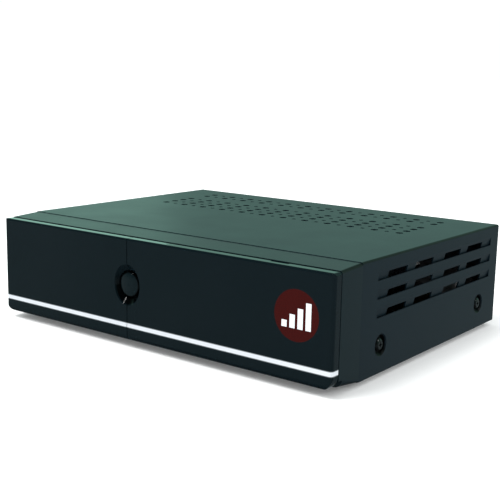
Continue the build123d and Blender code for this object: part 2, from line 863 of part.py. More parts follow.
with BuildPart() as catch_plate:
    plate_y = front + panel_wall + plate_wall / 2
    block(catch_x, plate_y, catch_z - plate_size / 2, plate_size, plate_wall, plate_size)
catch_plate.part.label = "catch_plate"
export_step(catch_plate.part, "parts/catch_plate.step")

# ------------------------------------------------------------------ button and keys
with BuildPart() as power_button:
    with BuildSketch(Plane(origin=(seam, front, button_z), x_dir=(1, 0, 0), z_dir=(0, 0, 1))) as cap:
        with BuildLine():
            rim = (button_radius, button_recess + button_dome)
            dome = TangentArc((0, button_recess), rim, tangent=(1, 0))
            Polyline(
                dome @ 1,
                (button_radius, flange_face - front),
                (button_flange, flange_face - front),
                (button_flange, flange_face - front + flange_wall),
                (stem_radius, flange_face - front + flange_wall),
                (stem_radius, switch_face - front + stem_reach),
                (0, switch_face - front + stem_reach),
                dome @ 0,
            )
        make_face()
        fillet(cap.vertices().sort_by_distance(rim)[0], button_edge)
    revolve(axis=Axis((seam, front, button_z), (0, 1, 0)))
power_button.part.label = "power_button"
export_step(power_button.part, "parts/power_button.step")

key_face = bulkhead_front - key_proud
for number, x in enumerate(key_spots, 1):
    with BuildPart() as key:
        with BuildSketch(across(key_face)):
            with Locations((x, key_z)):
                RectangleRounded(key_length, key_width, key_corner)
        extrude(amount=key_face - flange_face)
        chamfer(key.edges().group_by(Axis.Y)[0], key_edge)
        with BuildSketch(across(flange_face)):
            with Locations((x, key_z)):
                RectangleRounded(key_length + 2 * key_lip, key_width + 2 * key_lip, key_corner)
        extrude(amount=-flange_wall)
        stem_start = flange_face + flange_wall
        rod(x, stem_start, key_z, stem_radius, switch_face + stem_reach - stem_start)
    key.part.label = f"key_{number}"
    export_step(key.part, f"parts/key_{number}.step")

# ------------------------------------------------------------------ front board and its parts
with BuildPart() as tact_switches:
    switch_spots = [(seam, button_z, button_travel)] + [(x, key_z, key_travel) for x in key_spots]
    for x, z, travel in switch_spots:
        block(x, switch_face + tact_height / 2, z - tact_size / 2, tact_size, tact_height, tact_size)
        well = stem_reach + travel + stem_room
        rod(x, switch_face, z, stem_radius + clearance, well, Mode.SUBTRACT)
tact_switches.part.label = "tact_switches"
export_step(tact_switches.part, "parts/tact_switches.step")

with BuildPart() as front_board:
    board_middle = seam + button_flange + 2 * post_radius
    with BuildSketch(across(front_board_face)):
        Polygon(
            (-side + front_board_left, base + front_board_lower),
            (board_middle, base + front_board_lower),
            (board_middle, top - front_board_shelf),
            (side - front_board_right, top - front_board_shelf),
            (side - front_board_right, top - front_board_top_gap),
            (-side + front_board_left, top - front_board_top_gap),
            align=None,
        )
        with Locations(*board_boss_spots):
            Circle(screw_radius + clearance, mode=Mode.SUBTRACT)
    extrude(amount=-board)
front_board.part.label = "front_board"
export_step(front_board.part, "parts/front_board.step")

with BuildPart() as display_module:
    display_face = bulkhead_front + clearance
    display_depth = front_board_face - display_face
    display_low = button_z - display_width / 2
    display_y = display_face + display_depth / 2
    block(display_x, display_y, display_low, display_length, display_depth, display_width)
    glass = (display_length - 2 * display_rim, display_width - 2 * display_rim)
    with BuildSketch(across(display_face)):
        with Locations((display_x, button_z)):
            RectangleRounded(*glass, key_corner)
    extrude(amount=-key_edge, mode=Mode.SUBTRACT)
display_module.part.label = "display_module"
export_step(display_module.part, "parts/display_module.step")

with BuildPart() as ir_receiver:
    sensor_z = base + sensor_rise
    sensor_low = sensor_z - sensor_size / 2
    sensor_face = front_board_face - sensor_depth
    sensor_y = front_board_face - sensor_depth / 2
    block(sensor_x, sensor_y, sensor_low, sensor_size, sensor_depth, sensor_size)
    lens_reach = sensor_face - bulkhead_front - sheet
    rod(sensor_x, bulkhead_front + sheet, sensor_z, sensor_size / 2 - sheet, lens_reach)
    chamfer(ir_receiver.edges().group_by(Axis.Y)[0], key_corner)
ir_receiver.part.label = "ir_receiver"
export_step(ir_receiver.part, "parts/ir_receiver.step")

with BuildPart() as status_leds:
    for x, z in led_spots:
        rod(x, bulkhead_front + sheet, z, led_radius, front_board_face - bulkhead_front - sheet)
    chamfer(status_leds.edges().group_by(Axis.Y)[0], led_radius / 2)
status_leds.part.label = "status_leds"
export_step(status_leds.part, "parts/status_leds.step")

# ------------------------------------------------------------------ card reader behind the flap
reader_board_left = front_usb_x - usb_width / 2 - board_gap
reader_board_right = card_x + reader_width / 2 + 2 * board_gap
reader_board_front = bulkhead_back + board_gap / 4
reader_board_y = reader_board_front + reader_board_depth / 2
reader_post_spots = [
    (x, y)
    for x in (reader_board_left + board_gap, reader_board_right - board_gap)
    for y in (nose_back + tongue + 2 * post_radius, reader_board_front + reader_board_depth - board_gap)
]

with BuildPart() as reader_board:
    reader_board_x = (reader_board_left + reader_board_right) / 2
    reader_board_width = reader_board_right - reader_board_left
    reader_low = reader_top - board
    block(reader_board_x, reader_board_y, reader_low, reader_board_width, reader_board_depth, board)
    for x, y in reader_post_spots:
        post(x, y, reader_low, screw_radius + clearance, board, Mode.SUBTRACT)
reader_board.part.label = "reader_board"
export_step(reader_board.part, "parts/reader_board.step")

with BuildPart() as card_reader:
    block(card_x, flange_face + reader_depth / 2, reader_top, reader_width, reader_depth, reader_height)
    slot = reader_depth - board_margin
    slot_low = card_z - card_thickness / 2
    block(card_x, flange_face + slot / 2, slot_low, card_width, slot, card_thickness, Mode.SUBTRACT)
card_reader.part.label = "card_reader"
export_step(card_reader.part, "parts/card_reader.step")

usb_face = bulkhead_front + clearance
usb_mouth = usb_depth - port_back
with BuildPart() as front_usb_port:
    block(front_usb_x, usb_face + usb_depth / 2, reader_top, usb_width, usb_depth, usb_height)
    block(
        front_usb_x,
        usb_face + usb_mouth / 2,
        reader_top + usb_wall,
        usb_width - 2 * usb_wall,
        usb_mouth,
        usb_height - 2 * usb_wall,
        Mode.SUBTRACT,
    )
front_usb_port.part.label = "front_usb_port"
export_step(front_usb_port.part, "parts/front_usb_port.step")

# ------------------------------------------------------------------ boards on the tray
main_front = board_rear - main_depth
power_front = board_rear - power_depth
main_y = board_rear - main_depth / 2
power_y = board_rear - power_depth / 2
main_post_spots = [
    (x, y)
    for x in (main_left + board_margin, main_x, main_right - board_margin)
    for y in (main_front + board_margin, board_rear - tuner_depth - board_margin)
]
power_post_spots = [
    (x, y)
    for x in (power_left + board_margin, side - 2 * board_margin)
    for y in (power_front + board_margin, board_rear - board_margin)
]

with BuildPart() as main_board:
    block(main_x, main_y, board_top - board, main_right - main_left, main_depth, board)
    for x, y in main_post_spots:
        post(x, y, board_top - board, screw_radius + clearance, board, Mode.SUBTRACT)
main_board.part.label = "main_board"
export_step(main_board.part, "parts/main_board.step")

with BuildPart() as power_board:
    block(power_x, power_y, board_top - board, power_width, power_depth, board)
    for x, y in power_post_spots:
        post(x, y, board_top - board, screw_radius + clearance, board, Mode.SUBTRACT)
power_board.part.label = "power_board"
export_step(power_board.part, "parts/power_board.step")

bite = screw_length - board + stem_room
with BuildPart() as board_posts:
    for spots, tall in (
        (main_post_spots + power_post_spots, post_height),
        (reader_post_spots, reader_post),
    ):
        with BuildSketch(level(floor)):
            with Locations(*spots):
                RegularPolygon(post_radius, 6)
        extrude(amount=tall)
        for x, y in spots:
            post(x, y, floor + tall - bite, screw_radius + thread_fit, bite, Mode.SUBTRACT)
board_posts.part.label = "board_posts"
export_step(board_posts.part, "parts/board_posts.step")

with BuildPart() as processor:
    block(chip_x, chip_y, board_top, chip_size, chip_size, chip_height)
processor.part.label = "processor"
export_step(processor.part, "parts/processor.step")

with BuildPart() as heatsink:
    sink_foot = board_top + chip_height
    block(chip_x, chip_y, sink_foot, sink_size, sink_size, sink_base)
    with Locations((chip_x, chip_y, sink_foot + sink_base)):
        with GridLocations(sink_size / sink_fins, sink_size, sink_fins, 1):
            Box(sink_fin, sink_size, sink_height - sink_base, align=STAND)
heatsink.part.label = "heatsink"
export_step(heatsink.part, "parts/heatsink.step")

with BuildPart() as memory_chips:
    with Locations((memory_x, chip_y, board_top)):
        with GridLocations(memory_pitch, memory_pitch, 2, 2):
            Box(memory_length, memory_width, chip_height, align=STAND)
memory_chips.part.label = "memory_chips"
export_step(memory_chips.part, "parts/memory_chips.step")

with BuildPart() as board_capacitors:
    with Locations((capacitor_x, chip_y, board_top)):
        with GridLocations(capacitor_pitch, capacitor_pitch, 2, 3):
            Cylinder(capacitor_radius, capacitor_height, align=STAND)
    chamfer(board_capacitors.edges().group_by(Axis.Z)[-1], key_edge)
board_capacitors.part.label = "board_capacitors"
export_step(board_capacitors.part, "parts/board_capacitors.step")


# ------------------------------------------------------------------ power supply parts
inlet_back = wall_out - inlet_body_depth
inlet_lead_y = inlet_back - tab_width - board_margin
coil_x = side - board_margin - core_length / 2 - board_margin / 2
coil_y = power_front + psu_sink_reach + coil_depth
with BuildPart() as transformer:
    block(coil_x, coil_y, board_top, core_length, core_depth, core_height)
    block(coil_x, coil_y, board_top, coil_length, coil_depth, coil_height)
transformer.part.label = "transformer"
export_step(transformer.part, "parts/transformer.step")

with BuildPart() as mains_capacitor:
    can_x = power_left + mains_capacitor_radius + board_gap / 2
    can_y = coil_y + 2 * mains_capacitor_radius
    post(can_x, can_y, board_top, mains_capacitor_radius, mains_capacitor_height)
    chamfer(mains_capacitor.edges().group_by(Axis.Z)[-1], key_edge)
mains_capacitor.part.label = "mains_capacitor"
export_step(mains_capacitor.part, "parts/mains_capacitor.step")

with BuildPart() as output_capacitors:
    with Locations((coil_x - (core_length + board_gap) / 2 - output_capacitor_radius, coil_y, board_top)):
        with GridLocations(output_capacitor_pitch, output_capacitor_pitch, 1, 2):
            Cylinder(output_capacitor_radius, output_capacitor_height, align=STAND)
    chamfer(output_capacitors.edges().group_by(Axis.Z)[-1], key_edge)
output_capacitors.part.label = "output_capacitors"
export_step(output_capacitors.part, "parts/output_capacitors.step")

with BuildPart() as psu_heatsink:
    sink_y = power_front + psu_sink_reach
    block(power_x, sink_y, board_top, psu_sink_length, psu_sink_wall, psu_sink_height)
    with Locations((power_x, sink_y - psu_sink_reach / 2, board_top)):
        fin_pitch = (psu_sink_length - psu_sink_wall / 2) / (psu_sink_fin_count - 1)
        with GridLocations(fin_pitch, psu_sink_reach, psu_sink_fin_count, 1):
            Box(psu_sink_wall / 2, psu_sink_reach, psu_sink_height, align=STAND)
psu_heatsink.part.label = "psu_heatsink"
export_step(psu_heatsink.part, "parts/psu_heatsink.step")

with BuildPart() as line_filter:
    filter_x = inlet_x - header_length / 4 - filter_length / 2 - key_corner
    block(filter_x, inlet_lead_y, board_top, filter_length, filter_depth, filter_height)
    fillet(line_filter.edges().filter_by(Axis.Z), key_corner)
line_filter.part.label = "line_filter"
export_step(line_filter.part, "parts/line_filter.step")

with BuildPart() as fuse:
    fuse_y = board_rear - 2 * board_margin
    fuse_x = power_x + board_gap
    fuse_z = board_top + fuse_radius + board
    bar(fuse_x - fuse_length / 2, fuse_y, fuse_z, fuse_radius, fuse_length)
    for hand in (-1, 1):
        clip_x = fuse_x + hand * (fuse_length - fuse_cap) / 2
        block(clip_x, fuse_y, board_top, fuse_cap, 2 * fuse_radius, fuse_radius + board)
fuse.part.label = "fuse"
export_step(fuse.part, "parts/fuse.step")

# ------------------------------------------------------------------ rear sockets
tuner_face = wall_in - f_flange
port_face = wall_out + port_proud


def port_shell(x, width, high, deep, wall, mouth):
    """Metal shell of a rear port that stands on its board, open to the back."""
    block(x, port_face - deep / 2, board_top, width, deep, high)
    inner_width = width - 2 * wall
    inner_height = high - 2 * wall
    block(x, port_face - mouth / 2, board_top + wall, inner_width, mouth, inner_height, Mode.SUBTRACT)


with BuildPart() as tuner_cans:
    for x in tuner_spots:
        block(x, tuner_face - tuner_depth / 2, board_top, tuner_width, tuner_depth, tuner_height)
        lid = tuner_height - shell_wall
        seam_y = tuner_face - shell_wall / 2
        block(x, seam_y, board_top + lid, tuner_width, shell_wall, shell_wall, Mode.SUBTRACT)
tuner_cans.part.label = "tuner_cans"
export_step(tuner_cans.part, "parts/tuner_cans.step")

with BuildPart() as f_connectors:
    for x in f_spots:
        rod(x, tuner_face, f_z, f_flange_radius, f_flange)
        rod(x, wall_in, f_z, f_radius - root_step, sheet + f_nut_height)
        rod(x, wall_out + f_nut_height, f_z, f_radius, f_reach - f_nut_height)
        rod(x, wall_out + f_reach - sheet, f_z, f_radius - 2 * f_bore, sheet, Mode.SUBTRACT)
        rod(x, wall_out, f_z, f_bore, f_reach, Mode.SUBTRACT)
f_connectors.part.label = "f_connectors"
export_step(f_connectors.part, "parts/f_connectors.step")

with BuildPart() as f_nuts:
    with BuildSketch(across(wall_out)):
        with Locations(*[(x, f_z) for x in f_spots]):
            RegularPolygon(f_nut_flats / 2, 6, major_radius=False)
            Circle(f_radius - root_step + thread_fit, mode=Mode.SUBTRACT)
    extrude(amount=-f_nut_height)
f_nuts.part.label = "f_nuts"
export_step(f_nuts.part, "parts/f_nuts.step")

with BuildPart() as hdmi_port:
    port_shell(hdmi_x, hdmi_width, hdmi_height, hdmi_depth, shell_wall, hdmi_depth - port_back)
hdmi_port.part.label = "hdmi_port"
export_step(hdmi_port.part, "parts/hdmi_port.step")

with BuildPart() as rear_usb_port:
    port_shell(rear_usb_x, usb_width, usb_height, usb_depth, usb_wall, usb_mouth)
rear_usb_port.part.label = "rear_usb_port"
export_step(rear_usb_port.part, "parts/rear_usb_port.step")

mouth_low = board_top + (ethernet_height - ethernet_mouth_height) / 2 - shell_wall
mouth_y = port_face - mouth_depth / 2
latch_low = mouth_low + ethernet_mouth_height
with BuildPart() as ethernet_port:
    jack_y = port_face - ethernet_depth / 2
    block(ethernet_x, jack_y, board_top, ethernet_width, ethernet_depth, ethernet_height)
    mouth = (ethernet_mouth_width, mouth_depth, ethernet_mouth_height)
    block(ethernet_x, mouth_y, mouth_low, *mouth, Mode.SUBTRACT)
    block(ethernet_x, mouth_y, latch_low, latch_width, mouth_depth, latch_height, Mode.SUBTRACT)
ethernet_port.part.label = "ethernet_port"
export_step(ethernet_port.part, "parts/ethernet_port.step")

with BuildPart() as port_inserts:
    hdmi_mouth = hdmi_depth - port_back
    hdmi_tongue = hdmi_mouth - tongue_height
    hdmi_low = board_top + (hdmi_height - tongue_height) / 2
    hdmi_y = port_face - hdmi_mouth + hdmi_tongue / 2
    block(hdmi_x, hdmi_y, hdmi_low, hdmi_width - board_gap, hdmi_tongue, tongue_height)
    usb_tongue = usb_mouth - tongue_height
    tongue_width = usb_width - 4 * usb_wall
    usb_back = port_face - usb_mouth + usb_tongue / 2
    usb_high = usb_height - 2 * usb_wall - tongue_height
    block(rear_usb_x, usb_back, board_top + usb_high, tongue_width, usb_tongue, tongue_height)
    usb_back = usb_face + usb_mouth - usb_tongue / 2
    block(front_usb_x, usb_back, reader_top + usb_high, tongue_width, usb_tongue, tongue_height)
    contact_y = port_face - mouth_depth + contact_length / 2
    block(ethernet_x, contact_y, mouth_low, contact_length, contact_length, tongue_height / 2)
port_inserts.part.label = "port_inserts"
export_step(port_inserts.part, "parts/port_inserts.step")

with BuildPart() as rca_block:
    block(rca_x, wall_in - rca_block_depth / 2, board_top, 2 * rca_pitch, rca_block_depth, 2 * rca_pitch)
rca_block.part.label = "rca_block"
export_step(rca_block.part, "parts/rca_block.step")

rca_inner = rca_sleeve_radius - rca_sleeve_wall
with BuildPart() as rca_shells:
    for x, z in rca_spots:
        rod(x, wall_in, z, rca_sleeve_radius + root_step, rca_collar)
        rod(x, wall_in + rca_collar, z, rca_sleeve_radius, sheet + rca_reach - rca_collar)
        rod(x, wall_in, z, rca_inner, sheet + rca_reach, Mode.SUBTRACT)
rca_shells.part.label = "rca_shells"
export_step(rca_shells.part, "parts/rca_shells.step")

with BuildPart() as rca_inserts:
    for x, z in rca_spots:
        rod(x, wall_in, z, rca_collar_radius, rca_collar)
        rod(x, wall_in, z, rca_sleeve_radius + root_step + thread_fit, rca_collar, Mode.SUBTRACT)
        rod(x, wall_in, z, rca_inner - thread_fit, rca_reach)
        rod(x, wall_out, z, rca_bore, rca_reach, Mode.SUBTRACT)
rca_inserts.part.label = "rca_inserts"
export_step(rca_inserts.part, "parts/rca_inserts.step")

# ------------------------------------------------------------------ mains inlet and switch
with BuildPart() as ac_inlet:
    with BuildSketch(across(wall_out)):
        with Locations((inlet_x, mains_z)):
            RectangleRounded(inlet_flange_width, inlet_flange_height, key_corner)
    extrude(amount=-inlet_flange)
    body_low = mains_z - inlet_body_height / 2
    body_y = wall_out - inlet_body_depth / 2
    block(inlet_x, body_y, body_low, inlet_body_width, inlet_body_depth, inlet_body_height)
    with BuildSketch(across(wall_out + inlet_flange)):
        with Locations((inlet_x, mains_z)):
            SlotOverall(inlet_mouth_width, inlet_mouth_height)
    extrude(amount=inlet_mouth_depth, mode=Mode.SUBTRACT)
ac_inlet.part.label = "ac_inlet"
export_step(ac_inlet.part, "parts/ac_inlet.step")

pin_root = wall_out + inlet_flange - inlet_mouth_depth
with BuildPart() as inlet_pins:
    for x in (inlet_x - inlet_pin_pitch / 2, inlet_x + inlet_pin_pitch / 2):
        rod(x, pin_root, mains_z, inlet_pin_radius, inlet_pin_length)
        block(x, inlet_back - tab_width / 2, mains_z - tab_width / 2, tab_wall, tab_width, tab_width)
inlet_pins.part.label = "inlet_pins"
export_step(inlet_pins.part, "parts/inlet_pins.step")

facet = rocker_crown * math.cos(math.radians(rocker_angle))
pivot_y = wall_out + switch_flange + rocker_proud - facet
cavity_width = 2 * (rocker_radius + port_clearance)
cavity_height = switch_body_height - 2 * switch_wall
cavity_back = pivot_y - rocker_radius - port_back
with BuildPart() as switch_housing:
    with BuildSketch(across(wall_out)):
        with Locations((switch_x, mains_z)):
            RectangleRounded(switch_flange_width, switch_flange_height, key_corner)
    extrude(amount=-switch_flange)
    body_low = mains_z - switch_body_height / 2
    body_y = wall_out - switch_body_depth / 2
    block(switch_x, body_y, body_low, switch_body_width, switch_body_depth, switch_body_height)
    cavity = wall_out + switch_flange - cavity_back
    cavity_low = mains_z - cavity_height / 2
    cavity_y = cavity_back + cavity / 2
    block(switch_x, cavity_y, cavity_low, cavity_width, cavity, cavity_height, Mode.SUBTRACT)
    post(switch_x, pivot_y, body_low, trunnion_radius + hinge_fit, switch_body_height, Mode.SUBTRACT)
switch_housing.part.label = "switch_housing"
export_step(switch_housing.part, "parts/switch_housing.step")

rocker_height = cavity_height - 2 * clearance
rise = rocker_crown + rocker_radius * math.tan(math.radians(rocker_angle))
with BuildPart() as rocker_switch:
    with BuildSketch(level(mains_z - rocker_height / 2)):
        with Locations(Location((switch_x, pivot_y), -rocker_angle)):
            Polygon(
                (-rocker_radius, rise),
                (-rocker_radius, -rocker_back),
                (rocker_radius, -rocker_back),
                (rocker_radius, rise),
                (0, rocker_crown),
                align=None,
            )
            Circle(rocker_radius, mode=Mode.INTERSECT)
    extrude(amount=rocker_height)
    post(switch_x, pivot_y, body_low + clearance, trunnion_radius, switch_body_height - 2 * clearance)
rocker_switch.part.label = "rocker_switch"
export_step(rocker_switch.part, "parts/rocker_switch.step")

# ------------------------------------------------------------------ cables inside the case
header_x = main_left + header_length / 2 + 3 * board_gap
header_y = main_front + header_depth
ribbon_z = base + ribbon_rise
lead_y = power_front + header_length / 2 + board_gap
with BuildPart() as board_sockets:
    header_low = ribbon_z - header_height / 2
    plug_y = front_board_back + header_depth / 2
    block(header_x, plug_y, header_low, header_length, header_depth, header_height)
    block(header_x, header_y, board_top, header_length, header_depth, header_height)
    for x in lead_x:
        block(x, lead_y, board_top, header_height, header_length / 2, header_height)
    block(inlet_x, inlet_lead_y, board_top, header_length / 2, header_height, header_height)
board_sockets.part.label = "board_sockets"
export_step(board_sockets.part, "parts/board_sockets.step")

with BuildPart() as ribbon_cable:
    ribbon_start = front_board_back + header_depth
    with BuildSketch(upright(header_x - ribbon_width / 2)):
        with BuildLine():
            FilletPolyline(
                (ribbon_start, ribbon_z),
                (ribbon_start + 2 * ribbon_bend, ribbon_z),
                (ribbon_start + 5 * ribbon_bend, ribbon_z - ribbon_sag),
                (header_y, ribbon_z - ribbon_sag),
                (header_y, board_top + header_height),
                radius=ribbon_bend,
            )
        trace(line_width=ribbon_wall)
    extrude(amount=ribbon_width)
ribbon_cable.part.label = "ribbon_cable"
export_step(ribbon_cable.part, "parts/ribbon_cable.step")

socket_top = board_top + header_height
with BuildPart() as power_leads:
    for n in range(lead_count):
        wire_y = lead_y + (n - (lead_count - 1) / 2) * lead_pitch
        with BuildLine() as route:
            climb = Line((lead_x[0], wire_y, socket_top), (lead_x[0], wire_y, socket_top + lead_rise))
            half_span = (lead_x[1] - lead_x[0]) / 2
            crown = (lead_x[0] + half_span, wire_y, socket_top + lead_rise + half_span)
            bow = ThreePointArc(climb @ 1, crown, (lead_x[1], wire_y, socket_top + lead_rise))
            Line(bow @ 1, (lead_x[1], wire_y, socket_top))
        with BuildSketch(Plane(origin=route.line @ 0, z_dir=route.line % 0)):
            RegularPolygon(lead_radius, 6)
        sweep(path=route.line)
    for x in (inlet_x - inlet_pin_pitch / 2, inlet_x + inlet_pin_pitch / 2):
        tab_end = inlet_back - tab_width
        with BuildLine() as route:
            FilletPolyline(
                (x, tab_end, mains_z),
                (x, inlet_lead_y, mains_z),
                (x, inlet_lead_y, socket_top),
                radius=ribbon_bend,
            )
        with BuildSketch(Plane(origin=route.line @ 0, z_dir=route.line % 0)):
            RegularPolygon(lead_radius, 6)
        sweep(path=route.line)
    for x in (switch_x - board_gap / 2, switch_x + board_gap / 2):
        block(x, cavity_back, board_top, 2 * lead_radius, 2 * lead_radius, body_low - board_top)
power_leads.part.label = "power_leads"
export_step(power_leads.part, "parts/power_leads.step")

# ------------------------------------------------------------------ feet and screws
with BuildPart() as rubber_feet:
    for x in (-side + foot_inset_x, side - foot_inset_x):
        for y in (front + foot_inset_y, rear - foot_inset_y):
            post(x, y, 0, foot_radius, foot_height)
    chamfer(rubber_feet.edges().group_by(Axis.Z)[0], key_edge)
rubber_feet.part.label = "rubber_feet"
export_step(rubber_feet.part, "parts/rubber_feet.step")

crossed_screw = pan_screw(True)
plain_screw = pan_screw(False)

with BuildPart() as side_screws:
    for hand, y in side_screw_spots:
        with Locations(Plane(origin=(hand * (side - dimple_depth), y, side_screw_z), z_dir=(hand, 0, 0))):
            add(crossed_screw)
side_screws.part.label = "side_screws"
export_step(side_screws.part, "parts/side_screws.step")

with BuildPart() as rear_screws:
    for x in rear_screw_spots:
        with Locations(Plane(origin=(x, rear, rear_screw_z), z_dir=(0, 1, 0))):
            add(crossed_screw)
rear_screws.part.label = "rear_screws"
export_step(rear_screws.part, "parts/rear_screws.step")

with BuildPart() as fascia_screws:
    for x in fascia_screw_spots:
        with Locations(Plane(origin=(x, fascia_screw_y, base), z_dir=(0, 0, -1))):
            add(crossed_screw)
fascia_screws.part.label = "fascia_screws"
export_step(fascia_screws.part, "parts/fascia_screws.step")

with BuildPart() as board_screws:
    for x, y in main_post_spots + power_post_spots:
        with Locations((x, y, board_top)):
            add(plain_screw)
    for x, y in reader_post_spots:
        with Locations((x, y, reader_top)):
            add(plain_screw)
    for x, z in board_boss_spots:
        with Locations(Plane(origin=(x, front_board_back, z), z_dir=(0, 1, 0))):
            add(plain_screw)
board_screws.part.label = "board_screws"
export_step(board_screws.part, "parts/board_screws.step")
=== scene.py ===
import math

import bpy
from mathutils import Matrix, Vector


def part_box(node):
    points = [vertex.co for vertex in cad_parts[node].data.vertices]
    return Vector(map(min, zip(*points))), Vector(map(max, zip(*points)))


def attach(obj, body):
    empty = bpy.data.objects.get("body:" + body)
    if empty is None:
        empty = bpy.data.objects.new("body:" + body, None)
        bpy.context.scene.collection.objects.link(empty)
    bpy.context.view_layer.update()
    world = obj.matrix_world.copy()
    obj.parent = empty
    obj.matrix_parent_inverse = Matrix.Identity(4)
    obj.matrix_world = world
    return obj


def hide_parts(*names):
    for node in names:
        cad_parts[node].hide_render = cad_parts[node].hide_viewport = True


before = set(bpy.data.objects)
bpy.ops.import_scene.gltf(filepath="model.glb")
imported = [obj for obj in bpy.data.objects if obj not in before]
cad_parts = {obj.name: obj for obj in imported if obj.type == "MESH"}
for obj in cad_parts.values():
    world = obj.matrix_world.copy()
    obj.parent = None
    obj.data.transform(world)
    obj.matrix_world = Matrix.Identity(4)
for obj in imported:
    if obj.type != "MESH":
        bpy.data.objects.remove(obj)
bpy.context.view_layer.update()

# ---------------------------------------------------------------- camera
# A short telephoto lens on a stand in front and to the right, above the lid. It is turned to the
# left, points down a little and leans by about a degree.
turn, drop, lean = math.radians(37.29), math.radians(10.71), math.radians(1.17)
stand = (0.31951, -0.42650, 0.14108)
sight = Vector((
    -math.sin(turn) * math.cos(drop),
    math.cos(turn) * math.cos(drop),
    -math.sin(drop),
))
level_right = Vector((math.cos(turn), math.sin(turn), 0))
level_up = level_right.cross(sight)
film_right = level_right * math.cos(lean) + level_up * math.sin(lean)
film_up = level_up * math.cos(lean) - level_right * math.sin(lean)
lens = bpy.data.cameras.new("camera")
lens.sensor_width = 36.0
lens.lens = 68.2
lens.clip_start = 0.01
camera = bpy.data.objects.new("camera", lens)
aimed = Matrix((film_right, film_up, -sight)).transposed().to_4x4()
camera.matrix_world = Matrix.Translation(stand) @ aimed
bpy.context.scene.collection.objects.link(camera)
bpy.context.scene.camera = camera
bpy.context.scene.view_settings.view_transform = "Standard"

# ---------------------------------------------------------------- table and backdrop
# A plain white sheet of paper, wide enough to run out of sight behind the receiver. It glows a
# little, so that it stays white to its edge, and the receiver doesn't mirror it.
sheet_half = 30.0
corners = ((-1, -1), (1, -1), (1, 1), (-1, 1))
paper_finish = {
    "Base Color": (0.92, 0.93, 0.93, 1),
    "Roughness": 0.9,
    "Specular IOR Level": 0.1,
    "Emission Color": (1, 1, 1, 1),
    "Emission Strength": 0.1,
}
table = bpy.data.meshes.new("table")
table.from_pydata([(x * sheet_half, y * sheet_half, 0) for x, y in corners], [], [(0, 1, 2, 3)])
table_top = bpy.data.objects.new("table", table)
table_top.visible_glossy = False
bpy.context.scene.collection.objects.link(table_top)
paper = bpy.data.materials.new("white_paper")
paper.use_nodes = True
for label, value in paper_finish.items():
    paper.node_tree.nodes["Principled BSDF"].inputs[label].default_value = value
table.materials.append(paper)

# ---------------------------------------------------------------- studio light
# A white sky lights the paper, and the receiver mirrors a dimmer sea-green room, darker towards
# its ceiling and behind the camera. One softbox overhead throws the shadow, one low on the left
# tints the cover, and two spots glint on the button and the screws.


def supply(tree, socket, term):
    """Gives an input its term: another node's output is linked, and a value is set."""
    if isinstance(term, bpy.types.NodeSocket):
        tree.links.new(term, socket)
    else:
        socket.default_value = term


def place_node(tree, kind, settings=(), **terms):
    """New node with its properties set and its named inputs supplied."""
    node = tree.nodes.new(kind)
    for label, value in dict(settings).items():
        setattr(node, label, value)
    for label, term in terms.items():
        supply(tree, node.inputs[label.replace("_", " ")], term)
    return node


def calc(tree, operation, *terms, clamp=False):
    """Output of a new Math node."""
    node = place_node(tree, "ShaderNodeMath", {"operation": operation, "use_clamp": clamp})
    for socket, term in zip(node.inputs, terms):
        supply(tree, socket, term)
    return node.outputs[0]


def parts_of(tree, output):
    """X, Y and Z of a Texture Coordinate output, such as Object or Normal."""
    spot = place_node(tree, "ShaderNodeTexCoord").outputs[output]
    return place_node(tree, "ShaderNodeSeparateXYZ", Vector=spot).outputs


world = bpy.data.worlds.new("room")
bpy.context.scene.world = world
world.use_nodes = True
room = world.node_tree
toward = parts_of(room, "Generated")
band = place_node(room, "ShaderNodeMapRange", Value=toward["Z"], From_Min=-1.0)
tones = place_node(room, "ShaderNodeValToRGB", Fac=band.outputs["Result"])
room_tones = (
    (0.15, (0.06, 0.06, 0.06)),
    (0.36, (0.35, 0.43, 0.44)),
    (0.46, (0.34, 0.43, 0.43)),
    (0.55, (0.24, 0.45, 0.36)),
    (0.62, (0.48, 0.92, 0.75)),
    (0.85, (0.12, 0.22, 0.19)),
)
while len(tones.color_ramp.elements) < len(room_tones):
    tones.color_ramp.elements.new(0.5)
for stop, (level, tone) in zip(tones.color_ramp.elements, room_tones):
    stop.position = level
    stop.color = (*tone, 1)
# Above the table, the half of the room behind the camera is dark. A slope says how fast a share
# changes with direction, and its middle is the share at the room's sides or at the horizon.
side_slope, side_middle, rise_slope, rise_middle, least_light = 2.0, 0.75, 8.0, 0.6, 0.12
ahead = calc(room, "MULTIPLY_ADD", toward["Y"], side_slope, side_middle, clamp=True)
above = calc(room, "MULTIPLY_ADD", toward["Z"], rise_slope, rise_middle, clamp=True)
lit = calc(room, "MAXIMUM", ahead, calc(room, "SUBTRACT", 1.0, above))
lit = calc(room, "MAXIMUM", lit, least_light)
paper_sky = room.nodes["Background"]
paper_sky.inputs["Strength"].default_value = 1.02
paper_sky.inputs["Color"].default_value = (1, 1, 1, 1)
fill_sky = place_node(room, "ShaderNodeBackground", Color=(0.98, 1.0, 1.0, 1), Strength=1.1)
mirror_sky = place_node(room, "ShaderNodeBackground", Color=tones.outputs["Color"], Strength=lit)


def sky_for(kind_of_ray, chosen, other):
    """One sky for one kind of ray, and the other sky for the rest."""
    both = place_node(room, "ShaderNodeMixShader", Fac=kind_of_ray)
    room.links.new(other, both.inputs[1])
    room.links.new(chosen, both.inputs[2])
    return both.outputs["Shader"]


rays = place_node(room, "ShaderNodeLightPath").outputs
unseen = sky_for(rays["Is Glossy Ray"], mirror_sky.outputs[0], fill_sky.outputs[0])
skies = sky_for(rays["Is Camera Ray"], paper_sky.outputs[0], unseen)
room.links.new(skies, room.nodes["World Output"].inputs["Surface"])


